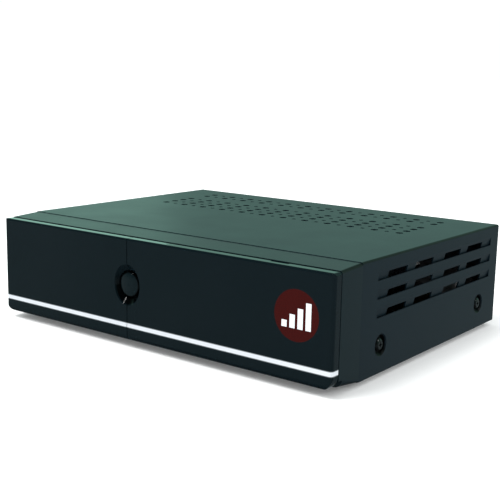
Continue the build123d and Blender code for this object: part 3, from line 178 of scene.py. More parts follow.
def softbox(name, place, aim, size, watts, tint=(1, 1, 1)):
    """Square area light at a place, turned towards a point."""
    light = bpy.data.lights.new(name, "AREA")
    light.shape = "SQUARE"
    light.size = size
    light.energy = watts
    light.color = tint
    lamp = bpy.data.objects.new(name, light)
    lamp.location = place
    lamp.rotation_euler = (Vector(aim) - Vector(place)).to_track_quat("-Z", "Y").to_euler()
    bpy.context.scene.collection.objects.link(lamp)
    return lamp


softbox(
    "softbox_left", place=(-0.95, 0.6, 0.28), aim=(-0.05, -0.05, 0.06), size=0.5, watts=0.5,
    tint=(0.55, 1.0, 0.82),
)
softbox(
    "spot_front", place=(-0.364, -0.709, 0.738), aim=(-0.014, -0.089, 0.033), size=0.07, watts=1.2,
)
softbox(
    "spot_right", place=(0.92, 0.27, 0.526), aim=(0.11, -0.03, 0.018), size=0.08, watts=1.2,
)
overhead = softbox(
    "softbox_front", place=(-0.45, -1.0, 2.1), aim=(0, -0.1, 0), size=0.8, watts=30,
)
overhead.visible_glossy = False

# ---------------------------------------------------------------- steel cover
# Sheet steel folded to a U, pressed with louvres and punched with vents, then powder coated in
# black. The coat has a fine orange peel, and dust settles on the top.


def shader_group(name, starts, results):
    """Empty node group: its tree, its inputs and its outputs. A start of four is a colour."""
    tree = bpy.data.node_groups.new(name, "ShaderNodeTree")
    for label, start in starts.items():
        kind = "NodeSocketColor" if isinstance(start, tuple) else "NodeSocketFloat"
        socket = tree.interface.new_socket(label, in_out="INPUT", socket_type=kind)
        socket.default_value = start
    for label in results:
        kind = "NodeSocketColor" if label == "Color" else "NodeSocketFloat"
        tree.interface.new_socket(label, in_out="OUTPUT", socket_type=kind)
    return tree, tree.nodes.new("NodeGroupInput").outputs, tree.nodes.new("NodeGroupOutput").inputs


# Colour and roughness wander over the piece, dust lies on its top, and a fine grain gives relief
surface, surface_in, surface_out = shader_group(
    "moulded_or_coated_surface",
    {
        "Deep": (0, 0, 0, 1),
        "Light": (0.1, 0.1, 0.1, 1),
        "Low Roughness": 0.3,
        "High Roughness": 0.4,
        "Grain per Metre": 2000.0,
        "Drift per Metre": 30.0,
        "Dust": 0.0,
    },
    ("Color", "Roughness", "Grain"),
)
dust_grey = (0.32, 0.34, 0.33, 1)
where = place_node(surface, "ShaderNodeTexCoord").outputs["Object"]
grain = place_node(
    surface, "ShaderNodeTexNoise", Vector=where, Scale=surface_in["Grain per Metre"], Detail=3.0,
).outputs["Fac"]
drift = place_node(
    surface, "ShaderNodeTexNoise", Vector=where, Scale=surface_in["Drift per Metre"], Detail=4.0,
).outputs["Fac"]
upward = calc(surface, "MULTIPLY", parts_of(surface, "Normal")["Z"], surface_in["Dust"], clamp=True)
dusty = calc(surface, "MULTIPLY", upward, calc(surface, "MULTIPLY", grain, drift))
wander = place_node(
    surface, "ShaderNodeMix", {"data_type": "RGBA"},
    Factor=drift, A=surface_in["Deep"], B=surface_in["Light"],
)
powder = place_node(
    surface, "ShaderNodeMix", {"data_type": "RGBA"},
    Factor=dusty, A=wander.outputs["Result"], B=dust_grey,
)
dull = place_node(
    surface, "ShaderNodeMapRange",
    Value=drift, To_Min=surface_in["Low Roughness"], To_Max=surface_in["High Roughness"],
)
surface.links.new(powder.outputs["Result"], surface_out["Color"])
surface.links.new(dull.outputs["Result"], surface_out["Roughness"])
surface.links.new(grain, surface_out["Grain"])


def finish(name, deep, light, rough, grain_size, relief, drift_size=0.03, dust=0.0, **constants):
    """Material between two tones and two roughnesses; grain, relief and drift are in metres."""
    material = bpy.data.materials.new(name)
    material.use_nodes = True
    tree = material.node_tree
    shader = tree.nodes["Principled BSDF"]
    for label, value in constants.items():
        shader.inputs[label.replace("_", " ")].default_value = value
    skin = place_node(
        tree, "ShaderNodeGroup", {"node_tree": surface, "name": "surface"},
        Deep=(*deep, 1), Light=(*light, 1), Low_Roughness=rough[0], High_Roughness=rough[1],
        Grain_per_Metre=1 / grain_size, Drift_per_Metre=1 / drift_size, Dust=dust,
    ).outputs
    bump = place_node(tree, "ShaderNodeBump", Distance=relief, Height=skin["Grain"])
    tree.links.new(skin["Color"], shader.inputs["Base Color"])
    tree.links.new(skin["Roughness"], shader.inputs["Roughness"])
    tree.links.new(bump.outputs["Normal"], shader.inputs["Normal"])
    return material


def dress(material, *names):
    """Gives CAD pieces their finish."""
    for name in names:
        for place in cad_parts[name].material_slots:
            place.material = material


def print_on(material, mask, ink, name):
    """Lays an ink over a material's colour where the mask is 1."""
    tree = material.node_tree
    colour = tree.nodes["Principled BSDF"].inputs["Base Color"]
    layer = place_node(
        tree, "ShaderNodeMix", {"data_type": "RGBA", "name": name},
        Factor=mask, A=colour.links[0].from_socket, B=(*ink, 1),
    )
    tree.links.new(layer.outputs["Result"], colour)


shade_black = (0.0006, 0.0009, 0.0012)
fold_start, fold_gain = 0.15, 6.0


def paint_fold_shade(material):
    """Painted shade: a darker colour where a piece folds from its top to its sides."""
    tree = material.node_tree
    faces = parts_of(tree, "Normal")
    slant = calc(tree, "MULTIPLY", calc(tree, "ABSOLUTE", faces["X"]), faces["Z"])
    folded = calc(tree, "MULTIPLY_ADD", slant, fold_gain, -fold_gain * fold_start, clamp=True)
    print_on(material, folded, shade_black, "folds")


black_coat = finish(
    "black_powder_coat", deep=(0.0022, 0.008, 0.013), light=(0.0042, 0.011, 0.0165),
    rough=(0.34, 0.44), grain_size=0.0006, relief=0.000012, dust=0.05, Specular_IOR_Level=0.15,
)
paint_fold_shade(black_coat)
dress(black_coat, "top_cover", "bottom_chassis")

# ---------------------------------------------------------------- fascia moulding
# Injection-moulded ABS with a fine spark-eroded texture, screwed to the tray from below. Its
# tongue slides under the cover.
fascia_grain = finish(
    "fascia_texture", deep=(0.0012, 0.0073, 0.0108), light=(0.0032, 0.0103, 0.0142),
    rough=(0.34, 0.44), grain_size=0.0004, relief=0.00002, dust=0.09, Specular_IOR_Level=0.2,
)
paint_fold_shade(fascia_grain)
dress(fascia_grain, "fascia_frame")

# ---------------------------------------------------------------- glossy front
# Two polished black shells of ABS, the left one glued to the fascia and the right one a flap.
# Cloths leave faint streaks on them, and the flap has a round two-colour print.
polish = {
    "deep": (0.0018, 0.0051, 0.0069), "light": (0.0036, 0.0071, 0.0091), "rough": (0.05, 0.13),
    "grain_size": 0.004, "relief": 0.0000005, "drift_size": 0.05, "Specular_IOR_Level": 0.13,
}
gloss_black = finish("polished_black", **polish)
printed_gloss = finish("printed_polished_black", **polish)
dress(gloss_black, "left_panel")
dress(printed_gloss, "flap_door")
ink_edge = 0.00012


def middle(node):
    """X and Z of the middle of a CAD piece."""
    low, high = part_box(node)
    return (low[0] + high[0]) / 2, (low[2] + high[2]) / 2


def offsets(tree, x, z):
    """Distances to the right of and above a point, in metres."""
    spot = parts_of(tree, "Object")
    return calc(tree, "SUBTRACT", spot["X"], x), calc(tree, "SUBTRACT", spot["Z"], z)


def radius_from(tree, x, y):
    """Distance of a point from the middle of a print."""
    squares = calc(tree, "ADD", calc(tree, "MULTIPLY", x, x), calc(tree, "MULTIPLY", y, y))
    return calc(tree, "SQRT", squares)


def inked(tree, room_left, edge=ink_edge):
    """1 inside a print and 0 outside, with a soft edge."""
    return calc(tree, "MULTIPLY_ADD", room_left, 1 / edge, 0.5, clamp=True)


def on_front(tree, mask):
    """A print's mask, kept to what faces the front."""
    return calc(tree, "MULTIPLY", mask, calc(tree, "LESS_THAN", parts_of(tree, "Normal")["Y"], -0.9))


# Four bars that rise to the right, as on any signal meter. Their step, rise and foot are shares
# of the disc's radius, and half a bar is a share of the step.
bar_step, bar_rise, bar_foot, bar_half = 0.36, 0.26, 0.5, 0.33
half_the_bars = 2.0
badge, badge_in, badge_out = shader_group(
    "signal_print", {"Across": 0.0, "Up": 0.0, "Radius": 0.012}, ("Disc", "Bars"),
)
disc_radius = badge_in["Radius"]
from_middle = radius_from(badge, badge_in["Across"], badge_in["Up"])
disc = inked(badge, calc(badge, "SUBTRACT", disc_radius, from_middle))
step = calc(badge, "MULTIPLY", disc_radius, bar_step)
from_first = calc(badge, "MULTIPLY_ADD", step, half_the_bars, badge_in["Across"])
steps_in = calc(badge, "DIVIDE", from_first, step)
bar_number = calc(badge, "FLOOR", steps_in)
off_bar = calc(badge, "SUBTRACT", calc(badge, "SUBTRACT", steps_in, bar_number), 0.5)
side_room = calc(badge, "SUBTRACT", bar_half, calc(badge, "ABSOLUTE", off_bar))
foot_room = calc(badge, "MULTIPLY_ADD", disc_radius, bar_foot, badge_in["Up"])
rise = calc(badge, "MULTIPLY", disc_radius, bar_rise)
bar_height = calc(badge, "MULTIPLY", calc(badge, "ADD", bar_number, 1.0), rise)
off_row = calc(badge, "ABSOLUTE", calc(badge, "SUBTRACT", steps_in, half_the_bars))
bars = calc(badge, "MULTIPLY", calc(badge, "LESS_THAN", off_row, half_the_bars), disc)
for room_left in (
    calc(badge, "MULTIPLY", side_room, step),
    foot_room,
    calc(badge, "SUBTRACT", bar_height, foot_room),
):
    bars = calc(badge, "MULTIPLY", bars, inked(badge, room_left))
badge.links.new(disc, badge_out["Disc"])
badge.links.new(bars, badge_out["Bars"])

from_right_end, above_foot = 0.0195, 0.0315
flap_low, flap_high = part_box("flap_door")
sheet = printed_gloss.node_tree
badge_x, badge_z = offsets(sheet, flap_high[0] - from_right_end, flap_low[2] + above_foot)
stamp = place_node(sheet, "ShaderNodeGroup", {"node_tree": badge}, Across=badge_x, Up=badge_z)
print_on(printed_gloss, on_front(sheet, stamp.outputs["Disc"]), (0.034, 0.0025, 0.002), "dark_red")
print_on(printed_gloss, on_front(sheet, stamp.outputs["Bars"]), (0.72, 0.74, 0.76), "white")

# Painted shade and painted dark reflection: the dish round the button has no streaks, and it is
# painted deepest black, most of all in its lower half
dish_and_rim_shade = (0.0004, 0.0006, 0.0008)
dish_half_width, dish_half_height = 0.0089, 0.0107
dish_share, dish_edge, fade_per_metre, fade_at_middle = 0.96, 0.08, 140.0, 0.75
for shell in (gloss_black, printed_gloss):
    tree = shell.node_tree
    dish_x, dish_z = offsets(tree, *middle("power_button"))
    share = radius_from(
        tree,
        calc(tree, "DIVIDE", dish_x, dish_half_width),
        calc(tree, "DIVIDE", dish_z, dish_half_height),
    )
    in_dish = inked(tree, calc(tree, "SUBTRACT", dish_share, share), dish_edge)
    low_in_dish = calc(tree, "MULTIPLY_ADD", dish_z, -fade_per_metre, fade_at_middle, clamp=True)
    print_on(shell, calc(tree, "MULTIPLY", in_dish, low_in_dish), dish_and_rim_shade, "dish")

# ---------------------------------------------------------------- bright stripe
# A bar with a satin silver-white film, let into both shells and bent round their ends. Its long
# edges are painted dark, as painted shade where the bar sits in its recess.
satin_bar = finish(
    "satin_silver_film", deep=(0.62, 0.65, 0.7), light=(0.76, 0.78, 0.82), rough=(0.24, 0.34),
    grain_size=0.0003, relief=0.000003, drift_size=0.08, Metallic=0.15,
)
shaded_width, shade_softness = 0.00035, 0.0003
stripe_low, stripe_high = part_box("flap_stripe")
stripe_half = (stripe_high[2] - stripe_low[2]) / 2
tree = satin_bar.node_tree
stripe_z = offsets(tree, *middle("flap_stripe"))[1]
into_edge_shade = calc(tree, "SUBTRACT", calc(tree, "ABSOLUTE", stripe_z), stripe_half - shaded_width)
print_on(satin_bar, inked(tree, into_edge_shade, shade_softness), (0.07, 0.085, 0.09), "painted_edge_shade")
dress(satin_bar, "left_stripe", "flap_stripe")

# ---------------------------------------------------------------- power button
# A polished domed cap of ABS that stands in the dish between the shells, with its guide collar
# and stem behind them. Its rim is painted deepest black, as painted shade in the gap round the cap.
button_gloss = finish(
    "button_gloss", deep=(0.0018, 0.0055, 0.007), light=(0.0038, 0.0075, 0.0095),
    rough=(0.05, 0.1), grain_size=0.003, relief=0.0000005, Specular_IOR_Level=0.16,
)
dome_radius, rim_edge = 0.0059, 0.0006
tree = button_gloss.node_tree
from_middle = radius_from(tree, *offsets(tree, *middle("power_button")))
rim_shade = inked(tree, calc(tree, "SUBTRACT", from_middle, dome_radius), rim_edge)
print_on(button_gloss, rim_shade, dish_and_rim_shade, "painted_rim_shade")
dress(button_gloss, "power_button")

# ---------------------------------------------------------------- keys behind the flap
# Small moulded caps in a row, each pad-printed with an arrow or a ring in pale grey.
line_half = 0.0003


def ring(tree, x, z, radius):
    """Mask of a printed ring."""
    off_line = calc(tree, "ABSOLUTE", calc(tree, "SUBTRACT", radius_from(tree, x, z), radius))
    return inked(tree, calc(tree, "SUBTRACT", line_half, off_line))


arrow_spread = 0.6
arrow, arrow_in, arrow_out = shader_group(
    "arrow_print", {"Across": 0.0, "Up": 0.0, "Size": 0.0014}, ("Ink",),
)
tip_room = calc(arrow, "SUBTRACT", arrow_in["Size"], arrow_in["Up"])
inward = calc(arrow, "MULTIPLY", calc(arrow, "ABSOLUTE", arrow_in["Across"]), -1.0)
side_room = calc(arrow, "MULTIPLY_ADD", tip_room, arrow_spread, inward)
foot_room = calc(arrow, "ADD", arrow_in["Up"], arrow_in["Size"])
arrow.links.new(
    calc(arrow, "MULTIPLY", inked(arrow, side_room), inked(arrow, foot_room)), arrow_out["Ink"],
)
for number, sign in enumerate(("left", "down", "ring", "up", "right"), start=1):
    key_name = f"key_{number}"
    key_grey = finish(
        f"{key_name}_grey", deep=(0.022, 0.025, 0.027), light=(0.03, 0.033, 0.035),
        rough=(0.4, 0.5), grain_size=0.0005, relief=0.00001,
    )
    tree = key_grey.node_tree
    key_x, key_z = offsets(tree, *middle(key_name))
    if sign == "ring":
        ink = ring(tree, key_x, key_z, radius=0.0012)
    else:
        sideways, forwards = (key_x, key_z) if sign in ("up", "down") else (key_z, key_x)
        if sign in ("left", "down"):
            forwards = calc(tree, "MULTIPLY", forwards, -1.0)
        mark = place_node(tree, "ShaderNodeGroup", {"node_tree": arrow}, Across=sideways, Up=forwards)
        ink = mark.outputs["Ink"]
    print_on(key_grey, on_front(tree, ink), (0.55, 0.57, 0.58), "pale_grey")
    dress(key_grey, key_name)

# ---------------------------------------------------------------- screws
# Pan heads with a cross recess and a rolled thread: blackened on the outside of the case, zinc
# plated on the boards. The outer ones are modelled with their recess and thread.


def geometry_tree(name, *sizes):
    """Empty Geometry Nodes tree with named sizes, and its inputs."""
    tree = bpy.data.node_groups.new(name, "GeometryNodeTree")
    tree.interface.new_socket("Geometry", in_out="INPUT", socket_type="NodeSocketGeometry")
    for label in sizes:
        kind = "NodeSocketInt" if label == "Count" else "NodeSocketFloat"
        tree.interface.new_socket(label, in_out="INPUT", socket_type=kind)
    tree.interface.new_socket("Finish", in_out="INPUT", socket_type="NodeSocketMaterial")
    tree.interface.new_socket("Geometry", in_out="OUTPUT", socket_type="NodeSocketGeometry")
    return tree, tree.nodes.new("NodeGroupInput").outputs


def feed(tree, kind, settings=(), **terms):
    """First output of a new node."""
    return place_node(tree, kind, settings, **terms).outputs[0]


def lift(tree, shape, height, **turned):
    """A shape moved up, and turned or scaled about its own middle first."""
    move = feed(tree, "ShaderNodeCombineXYZ", Z=height)
    return feed(tree, "GeometryNodeTransform", Geometry=shape, Translation=move, **turned)


def wind(tree, steps, turns, radius, height, start, ridge):
    """A thread: a four-sided ridge wound along Z from its start."""
    line = feed(
        tree, "GeometryNodeCurveSpiral", Resolution=steps, Rotations=turns,
        Start_Radius=radius, End_Radius=radius, Height=height,
    )
    profile = feed(tree, "GeometryNodeCurvePrimitiveCircle", Resolution=4, Radius=ridge)
    return feed(
        tree, "GeometryNodeCurveToMesh",
        Curve=lift(tree, line, start), Profile_Curve=profile, Fill_Caps=True,
    )


def end_tree(tree, given, *parts):
    """Joins the parts, sets one on each seat along its direction, and makes them real."""
    joined = tree.nodes.new("GeometryNodeJoinGeometry")
    for part in parts:
        tree.links.new(part, joined.inputs[0])
    way = feed(tree, "GeometryNodeInputNamedAttribute", {"data_type": "FLOAT_VECTOR"}, Name="way")
    turn_to = feed(tree, "FunctionNodeAlignRotationToVector", {"axis": "Z"}, Vector=way)
    set_out = feed(
        tree, "GeometryNodeInstanceOnPoints",
        Points=given["Geometry"], Instance=joined.outputs[0], Rotation=turn_to,
    )
    real = feed(tree, "GeometryNodeRealizeInstances", Geometry=set_out)
    finished = feed(tree, "GeometryNodeSetMaterial", Geometry=real, Material=given["Finish"])
    tree.links.new(finished, tree.nodes.new("NodeGroupOutput").inputs["Geometry"])


def grow(name, tree, seats, material, **sizes):
    """Plain mesh that a tree makes on its seats, each a place and a direction."""
    spots = bpy.data.meshes.new(f"{name}_seats")
    spots.from_pydata([place for place, way in seats], [], [])
    ways = spots.attributes.new("way", "FLOAT_VECTOR", "POINT")
    for spot, (place, way) in zip(ways.data, seats):
        spot.vector = way
    carrier = bpy.data.objects.new(f"{name}_seats", spots)
    bpy.context.scene.collection.objects.link(carrier)
    maker = carrier.modifiers.new("maker", "NODES")
    maker.node_group = tree
    given_sizes = {label.replace("_", " "): size for label, size in sizes.items()}
    given_sizes["Finish"] = material
    for socket in tree.interface.items_tree:
        if socket.in_out == "INPUT" and socket.name in given_sizes:
            maker[socket.identifier] = given_sizes[socket.name]
    shape = carrier.evaluated_get(bpy.context.evaluated_depsgraph_get())
    mesh = bpy.data.meshes.new_from_object(shape)
    carrier.modifiers.remove(maker)
    bpy.data.objects.remove(carrier)
    piece = bpy.data.objects.new(name, mesh)
    bpy.context.scene.collection.objects.link(piece)
    return piece


# The head is a crowned disc, and two tapered wings cut its recess. Their mouth and tip are shares
# of the head's radius, their height is one of its height, and their thickness one of their width.
crown_drop = 0.62
wing_mouth, wing_tip, wing_height, wing_thickness = 0.66, 0.2, 0.25, 0.3
screw, screw_in = geometry_tree(
    "cross_recess_screw", "Head Radius", "Head Height", "Shank Radius", "Shank Length", "Pitch",
)
head_radius, head_height = screw_in["Head Radius"], screw_in["Head Height"]
blank = feed(
    screw, "GeometryNodeMeshCylinder",
    Vertices=40, Side_Segments=6, Radius=head_radius, Depth=head_height,
)
blank = lift(screw, blank, calc(screw, "MULTIPLY", head_height, 0.5))
spot = place_node(
    screw, "ShaderNodeSeparateXYZ", Vector=feed(screw, "GeometryNodeInputPosition"),
).outputs
height_share = calc(screw, "DIVIDE", spot["Z"], head_height)
squared = calc(screw, "MULTIPLY", height_share, height_share)
crown = calc(screw, "SQRT", calc(screw, "MULTIPLY_ADD", squared, -crown_drop, 1.0))
rounded = feed(
    screw, "ShaderNodeCombineXYZ",
    X=calc(screw, "MULTIPLY", spot["X"], crown), Y=calc(screw, "MULTIPLY", spot["Y"], crown),
    Z=spot["Z"],
)
head = feed(screw, "GeometryNodeSetPosition", Geometry=blank, Position=rounded)
wing = feed(
    screw, "GeometryNodeMeshCone", Vertices=4, Depth=head_height,
    Radius_Top=calc(screw, "MULTIPLY", head_radius, wing_mouth),
    Radius_Bottom=calc(screw, "MULTIPLY", head_radius, wing_tip),
)
wing_at = calc(screw, "MULTIPLY", head_height, wing_height)
recess = place_node(screw, "GeometryNodeMeshBoolean", {"operation": "DIFFERENCE"}, Mesh_1=head)
for turn_by in (0, math.pi / 2):
    blade = lift(screw, wing, wing_at, Rotation=(0, 0, turn_by), Scale=(1, wing_thickness, 1))
    screw.links.new(blade, recess.inputs["Mesh 2"])

# The thread's core, line and ridge are shares of the shank's radius. It starts 0.7 of a pitch
# under the head and is a pitch and a half shorter than the shank.
core_share, line_share, ridge_share, thread_start, thread_short = 0.8, 0.85, 0.14, 0.7, 1.5
shank_radius, shank_length = screw_in["Shank Radius"], screw_in["Shank Length"]
screw_pitch = screw_in["Pitch"]
core = feed(
    screw, "GeometryNodeMeshCylinder",
    Vertices=20, Radius=calc(screw, "MULTIPLY", shank_radius, core_share), Depth=shank_length,
)
core = lift(screw, core, calc(screw, "MULTIPLY", shank_length, -0.5))
short = calc(screw, "MULTIPLY", screw_pitch, thread_short)
thread = wind(
    screw, steps=20,
    turns=calc(screw, "SUBTRACT", calc(screw, "DIVIDE", shank_length, screw_pitch), thread_short),
    radius=calc(screw, "MULTIPLY", shank_radius, line_share),
    height=calc(screw, "SUBTRACT", short, shank_length),
    start=calc(screw, "MULTIPLY", screw_pitch, -thread_start),
    ridge=calc(screw, "MULTIPLY", shank_radius, ridge_share),
)
end_tree(screw, screw_in, recess.outputs["Mesh"], core, thread)

black_screw = finish(
    "blackened_steel", deep=(0.001, 0.0015, 0.002), light=(0.003, 0.004, 0.0045),
    rough=(0.14, 0.24), grain_size=0.0008, relief=0.00001, drift_size=0.004, Specular_IOR_Level=0.2,
)
grip, seat_depth = 0.0034, 0.0015
screw_sizes = {
    "Head_Radius": grip, "Head_Height": seat_depth,
    "Shank_Radius": 0.0014, "Shank_Length": 0.0058, "Pitch": 0.0006,
}


def screw_set(node, seats):
    """Detailed screws in place of a node's plain ones."""
    piece = grow(f"{node}_detailed", screw, seats, black_screw, **screw_sizes)
    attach(piece, "housing")
    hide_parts(node)


low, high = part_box("side_screws")
side_rows, side_level = (low[1] + grip, high[1] - grip), (low[2] + high[2]) / 2
screw_set("side_screws", [
    ((hand * (high[0] - seat_depth), y, side_level), (hand, 0, 0))
    for hand in (-1, 1) for y in side_rows
])
low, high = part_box("rear_screws")
screw_set("rear_screws", [
    ((x, high[1] - seat_depth, (low[2] + high[2]) / 2), (0, 1, 0))
    for x in (low[0] + grip, 0, high[0] - grip)
])
low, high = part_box("fascia_screws")
screw_set("fascia_screws", [
    ((x, (low[1] + high[1]) / 2, low[2] + seat_depth), (0, 0, -1))
    for x in (low[0] + grip, 0, high[0] - grip)
])

# Painted shade: the cover is painted near black in the pressed dimples round the side screws,
# where they lie in shadow. It counts as a metal of this dark colour there, so it mirrors almost
# nothing.
dimple_radius, dimple_edge, inside_half = 0.0048, 0.0008, 0.1
tree = black_coat.node_tree
coat_spot = parts_of(tree, "Object")
rise = calc(tree, "SUBTRACT", coat_spot["Z"], side_level)
rounds = []
for y in side_rows:
    from_screw = radius_from(tree, calc(tree, "SUBTRACT", coat_spot["Y"], y), rise)
    rounds.append(inked(tree, calc(tree, "SUBTRACT", dimple_radius, from_screw), dimple_edge))
on_side = calc(tree, "GREATER_THAN", calc(tree, "ABSOLUTE", coat_spot["X"]), inside_half)
dimple_shade = calc(tree, "MULTIPLY", calc(tree, "MAXIMUM", *rounds), on_side)
print_on(black_coat, dimple_shade, shade_black, "painted_dimple_shade")
tree.links.new(dimple_shade, tree.nodes["Principled BSDF"].inputs["Metallic"])

zinc_plate = finish(
    "zinc_plate", deep=(0.5, 0.51, 0.5), light=(0.68, 0.69, 0.66), rough=(0.28, 0.42),
    grain_size=0.0015, relief=0.00001, drift_size=0.006, Metallic=1.0,
)
dress(zinc_plate, "board_screws", "board_posts", "hinge_pins", "catch_plate")
sintered = finish(
    "sintered_magnet", deep=(0.05, 0.05, 0.052), light=(0.08, 0.08, 0.08), rough=(0.5, 0.65),
    grain_size=0.0006, relief=0.00002, Metallic=0.6,
)
dress(sintered, "catch_magnet")

# ---------------------------------------------------------------- feet
# Moulded rubber pads glued to the tray, matt and a little uneven in tone.
foot_rubber = finish(
    "foot_rubber", deep=(0.012, 0.012, 0.012), light=(0.02, 0.02, 0.02), rough=(0.75, 0.9),
    grain_size=0.0007, relief=0.00003,
)
dress(foot_rubber, "rubber_feet")

# ---------------------------------------------------------------- boards
# Glass-epoxy boards under green solder mask, through which the copper tracks show lighter, with
# tinned pads in rows.
pad_radius = 0.13
tracks, tracks_in, tracks_out = shader_group(
    "board_tracks", {"Pitch": 0.0025}, ("Tracks", "Pads"),
)
board_spot = place_node(tracks, "ShaderNodeTexCoord").outputs["Object"]
per_metre = calc(tracks, "DIVIDE", 1.0, tracks_in["Pitch"])
lanes = place_node(
    tracks, "ShaderNodeTexBrick", {"offset": 0.37, "squash": 1.6},
    Vector=board_spot, Scale=per_metre, Mortar_Size=0.06, Brick_Width=3.1,
    Color1=(0, 0, 0, 1), Color2=(0, 0, 0, 1), Mortar=(1, 1, 1, 1),
)
holes = place_node(
    tracks, "ShaderNodeTexVoronoi", {"voronoi_dimensions": "2D"},
    Vector=board_spot, Scale=per_metre, Randomness=0.45,
)
pads = calc(tracks, "LESS_THAN", holes.outputs["Distance"], pad_radius)
tracks.links.new(lanes.outputs["Color"], tracks_out["Tracks"])
tracks.links.new(pads, tracks_out["Pads"])
solder_mask = finish(
    "solder_mask", deep=(0.008, 0.06, 0.026), light=(0.012, 0.085, 0.04), rough=(0.25, 0.4),
    grain_size=0.002, relief=0.00001, drift_size=0.004,
)
copper = place_node(solder_mask.node_tree, "ShaderNodeGroup", {"node_tree": tracks}).outputs
print_on(solder_mask, copper["Tracks"], (0.03, 0.16, 0.07), "tracks_under_mask")
print_on(solder_mask, copper["Pads"], (0.5, 0.5, 0.48), "tinned_pads")
dress(solder_mask, "front_board", "reader_board", "main_board", "power_board")

# ---------------------------------------------------------------- parts on the boards
# Tinned steel cans and port shells, epoxy packages, sleeved capacitors with bare tops, extruded
# heat sinks and a transformer in tape.
tin_plate = finish(
    "bright_tin_plate", deep=(0.6, 0.61, 0.6), light=(0.74, 0.75, 0.73), rough=(0.18, 0.34),
    grain_size=0.003, relief=0.00001, drift_size=0.01, Metallic=1.0,
)
dress(
    tin_plate, "card_reader", "front_usb_port", "hdmi_port", "rear_usb_port", "ethernet_port",
    "tuner_cans",
)
epoxy = finish(
    "black_epoxy", deep=(0.012, 0.012, 0.013), light=(0.02, 0.02, 0.022), rough=(0.45, 0.6),
    grain_size=0.0004, relief=0.00001,
)
dress(epoxy, "processor", "memory_chips")
extruded = finish(
    "extruded_aluminium", deep=(0.09, 0.092, 0.095), light=(0.13, 0.133, 0.136),
    rough=(0.35, 0.5), grain_size=0.0012, relief=0.00002, Metallic=1.0,
)
dress(extruded, "heatsink", "psu_heatsink")

sleeve = finish(
    "shrunk_sleeve", deep=(0.006, 0.007, 0.012), light=(0.012, 0.014, 0.022), rough=(0.2, 0.35),
    grain_size=0.002, relief=0.00001,
)
tree = sleeve.node_tree
bare_top = calc(tree, "GREATER_THAN", parts_of(tree, "Normal")["Z"], 0.7)
print_on(sleeve, bare_top, (0.5, 0.51, 0.52), "bare_top")
dress(sleeve, "board_capacitors", "mains_capacitor", "output_capacitors")

smoked = finish(
    "smoked_window", deep=(0.01, 0.01, 0.012), light=(0.016, 0.016, 0.018), rough=(0.08, 0.15),
    grain_size=0.003, relief=0.000002,
)
dress(smoked, "display_module", "ir_receiver")
clear_lens = finish(
    "led_lens", deep=(0.4, 0.45, 0.42), light=(0.5, 0.55, 0.5), rough=(0.1, 0.2),
    grain_size=0.001, relief=0.000002,
)
dress(clear_lens, "status_leds")
black_nylon = finish(
    "black_nylon", deep=(0.013, 0.013, 0.014), light=(0.022, 0.022, 0.024), rough=(0.4, 0.55),
    grain_size=0.0006, relief=0.00001,
)
dress(black_nylon, "tact_switches", "rca_block", "ac_inlet", "switch_housing", "port_inserts")
white_nylon = finish(
    "white_nylon", deep=(0.42, 0.41, 0.37), light=(0.5, 0.49, 0.44), rough=(0.4, 0.55),
    grain_size=0.001, relief=0.00001,
)
dress(white_nylon, "board_sockets")

ferrite = finish(
    "ferrite_and_tape", deep=(0.02, 0.02, 0.022), light=(0.035, 0.035, 0.037), rough=(0.4, 0.55),
    grain_size=0.0012, relief=0.00002,
)
tape_width = 0.0028
coil_low, coil_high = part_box("transformer")
coil_middle, coil_half = (coil_low[1] + coil_high[1]) / 2, (coil_high[1] - coil_low[1]) / 2
tree = ferrite.node_tree
off_middle = calc(tree, "SUBTRACT", parts_of(tree, "Object")["Y"], coil_middle)
taped = calc(tree, "GREATER_THAN", calc(tree, "ABSOLUTE", off_middle), coil_half - tape_width)
# The tape's own yellow is painted far darker, as painted shade inside the case.
print_on(ferrite, taped, (0.02, 0.014, 0.003), "shaded_yellow_tape")
dress(ferrite, "transformer", "line_filter")

fuse_glass = finish(
    "fuse_glass", deep=(0.5, 0.55, 0.54), light=(0.6, 0.64, 0.62), rough=(0.08, 0.14),
    grain_size=0.002, relief=0.000002,
)
cap_width = 0.005
fuse_low, fuse_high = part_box("fuse")
tree = fuse_glass.node_tree
fuse_x = offsets(tree, *middle("fuse"))[0]
bare_glass = (fuse_high[0] - fuse_low[0]) / 2 - cap_width
capped = calc(tree, "GREATER_THAN", calc(tree, "ABSOLUTE", fuse_x), bare_glass)
print_on(fuse_glass, capped, (0.62, 0.6, 0.55), "nickel_caps")
dress(fuse_glass, "fuse")

# ---------------------------------------------------------------- ribbon cable and leads
# Grey ribbon with a groove between its wires and one red edge; the mains leads are plain PVC.
pvc = {
    "deep": (0.2, 0.2, 0.21), "light": (0.26, 0.26, 0.27), "rough": (0.45, 0.6),
    "grain_size": 0.001, "relief": 0.00001,
}
dress(finish("cable_sheath", **pvc), "power_leads")
ribbon_grey = finish("ribbon_sheath", **pvc)
wire_pitch = 0.00127
groove_half = wire_pitch / 12
ribbon_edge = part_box("ribbon_cable")[0][0]
tree = ribbon_grey.node_tree
from_edge = calc(tree, "SUBTRACT", parts_of(tree, "Object")["X"], ribbon_edge)
from_groove = calc(tree, "PINGPONG", from_edge, wire_pitch / 2)
grooves = calc(tree, "LESS_THAN", from_groove, groove_half)
print_on(ribbon_grey, grooves, (0.06, 0.06, 0.065), "grooves")
print_on(ribbon_grey, calc(tree, "LESS_THAN", from_edge, wire_pitch), (0.35, 0.02, 0.02), "red_edge")
dress(ribbon_grey, "ribbon_cable")

# ---------------------------------------------------------------- F sockets
# Nickel-plated brass turned on a lathe, with a 3/8-32 thread and a white insulator in the mouth.
# The nut clamps each one to the back panel.
nickel = finish(
    "nickel_plate", deep=(0.62, 0.6, 0.55), light=(0.74, 0.72, 0.66), rough=(0.18, 0.3),
    grain_size=0.0012, relief=0.00001, drift_size=0.006, Metallic=1.0,
)
dress(nickel, "f_nuts", "rca_shells", "inlet_pins")
weld = 0.000001


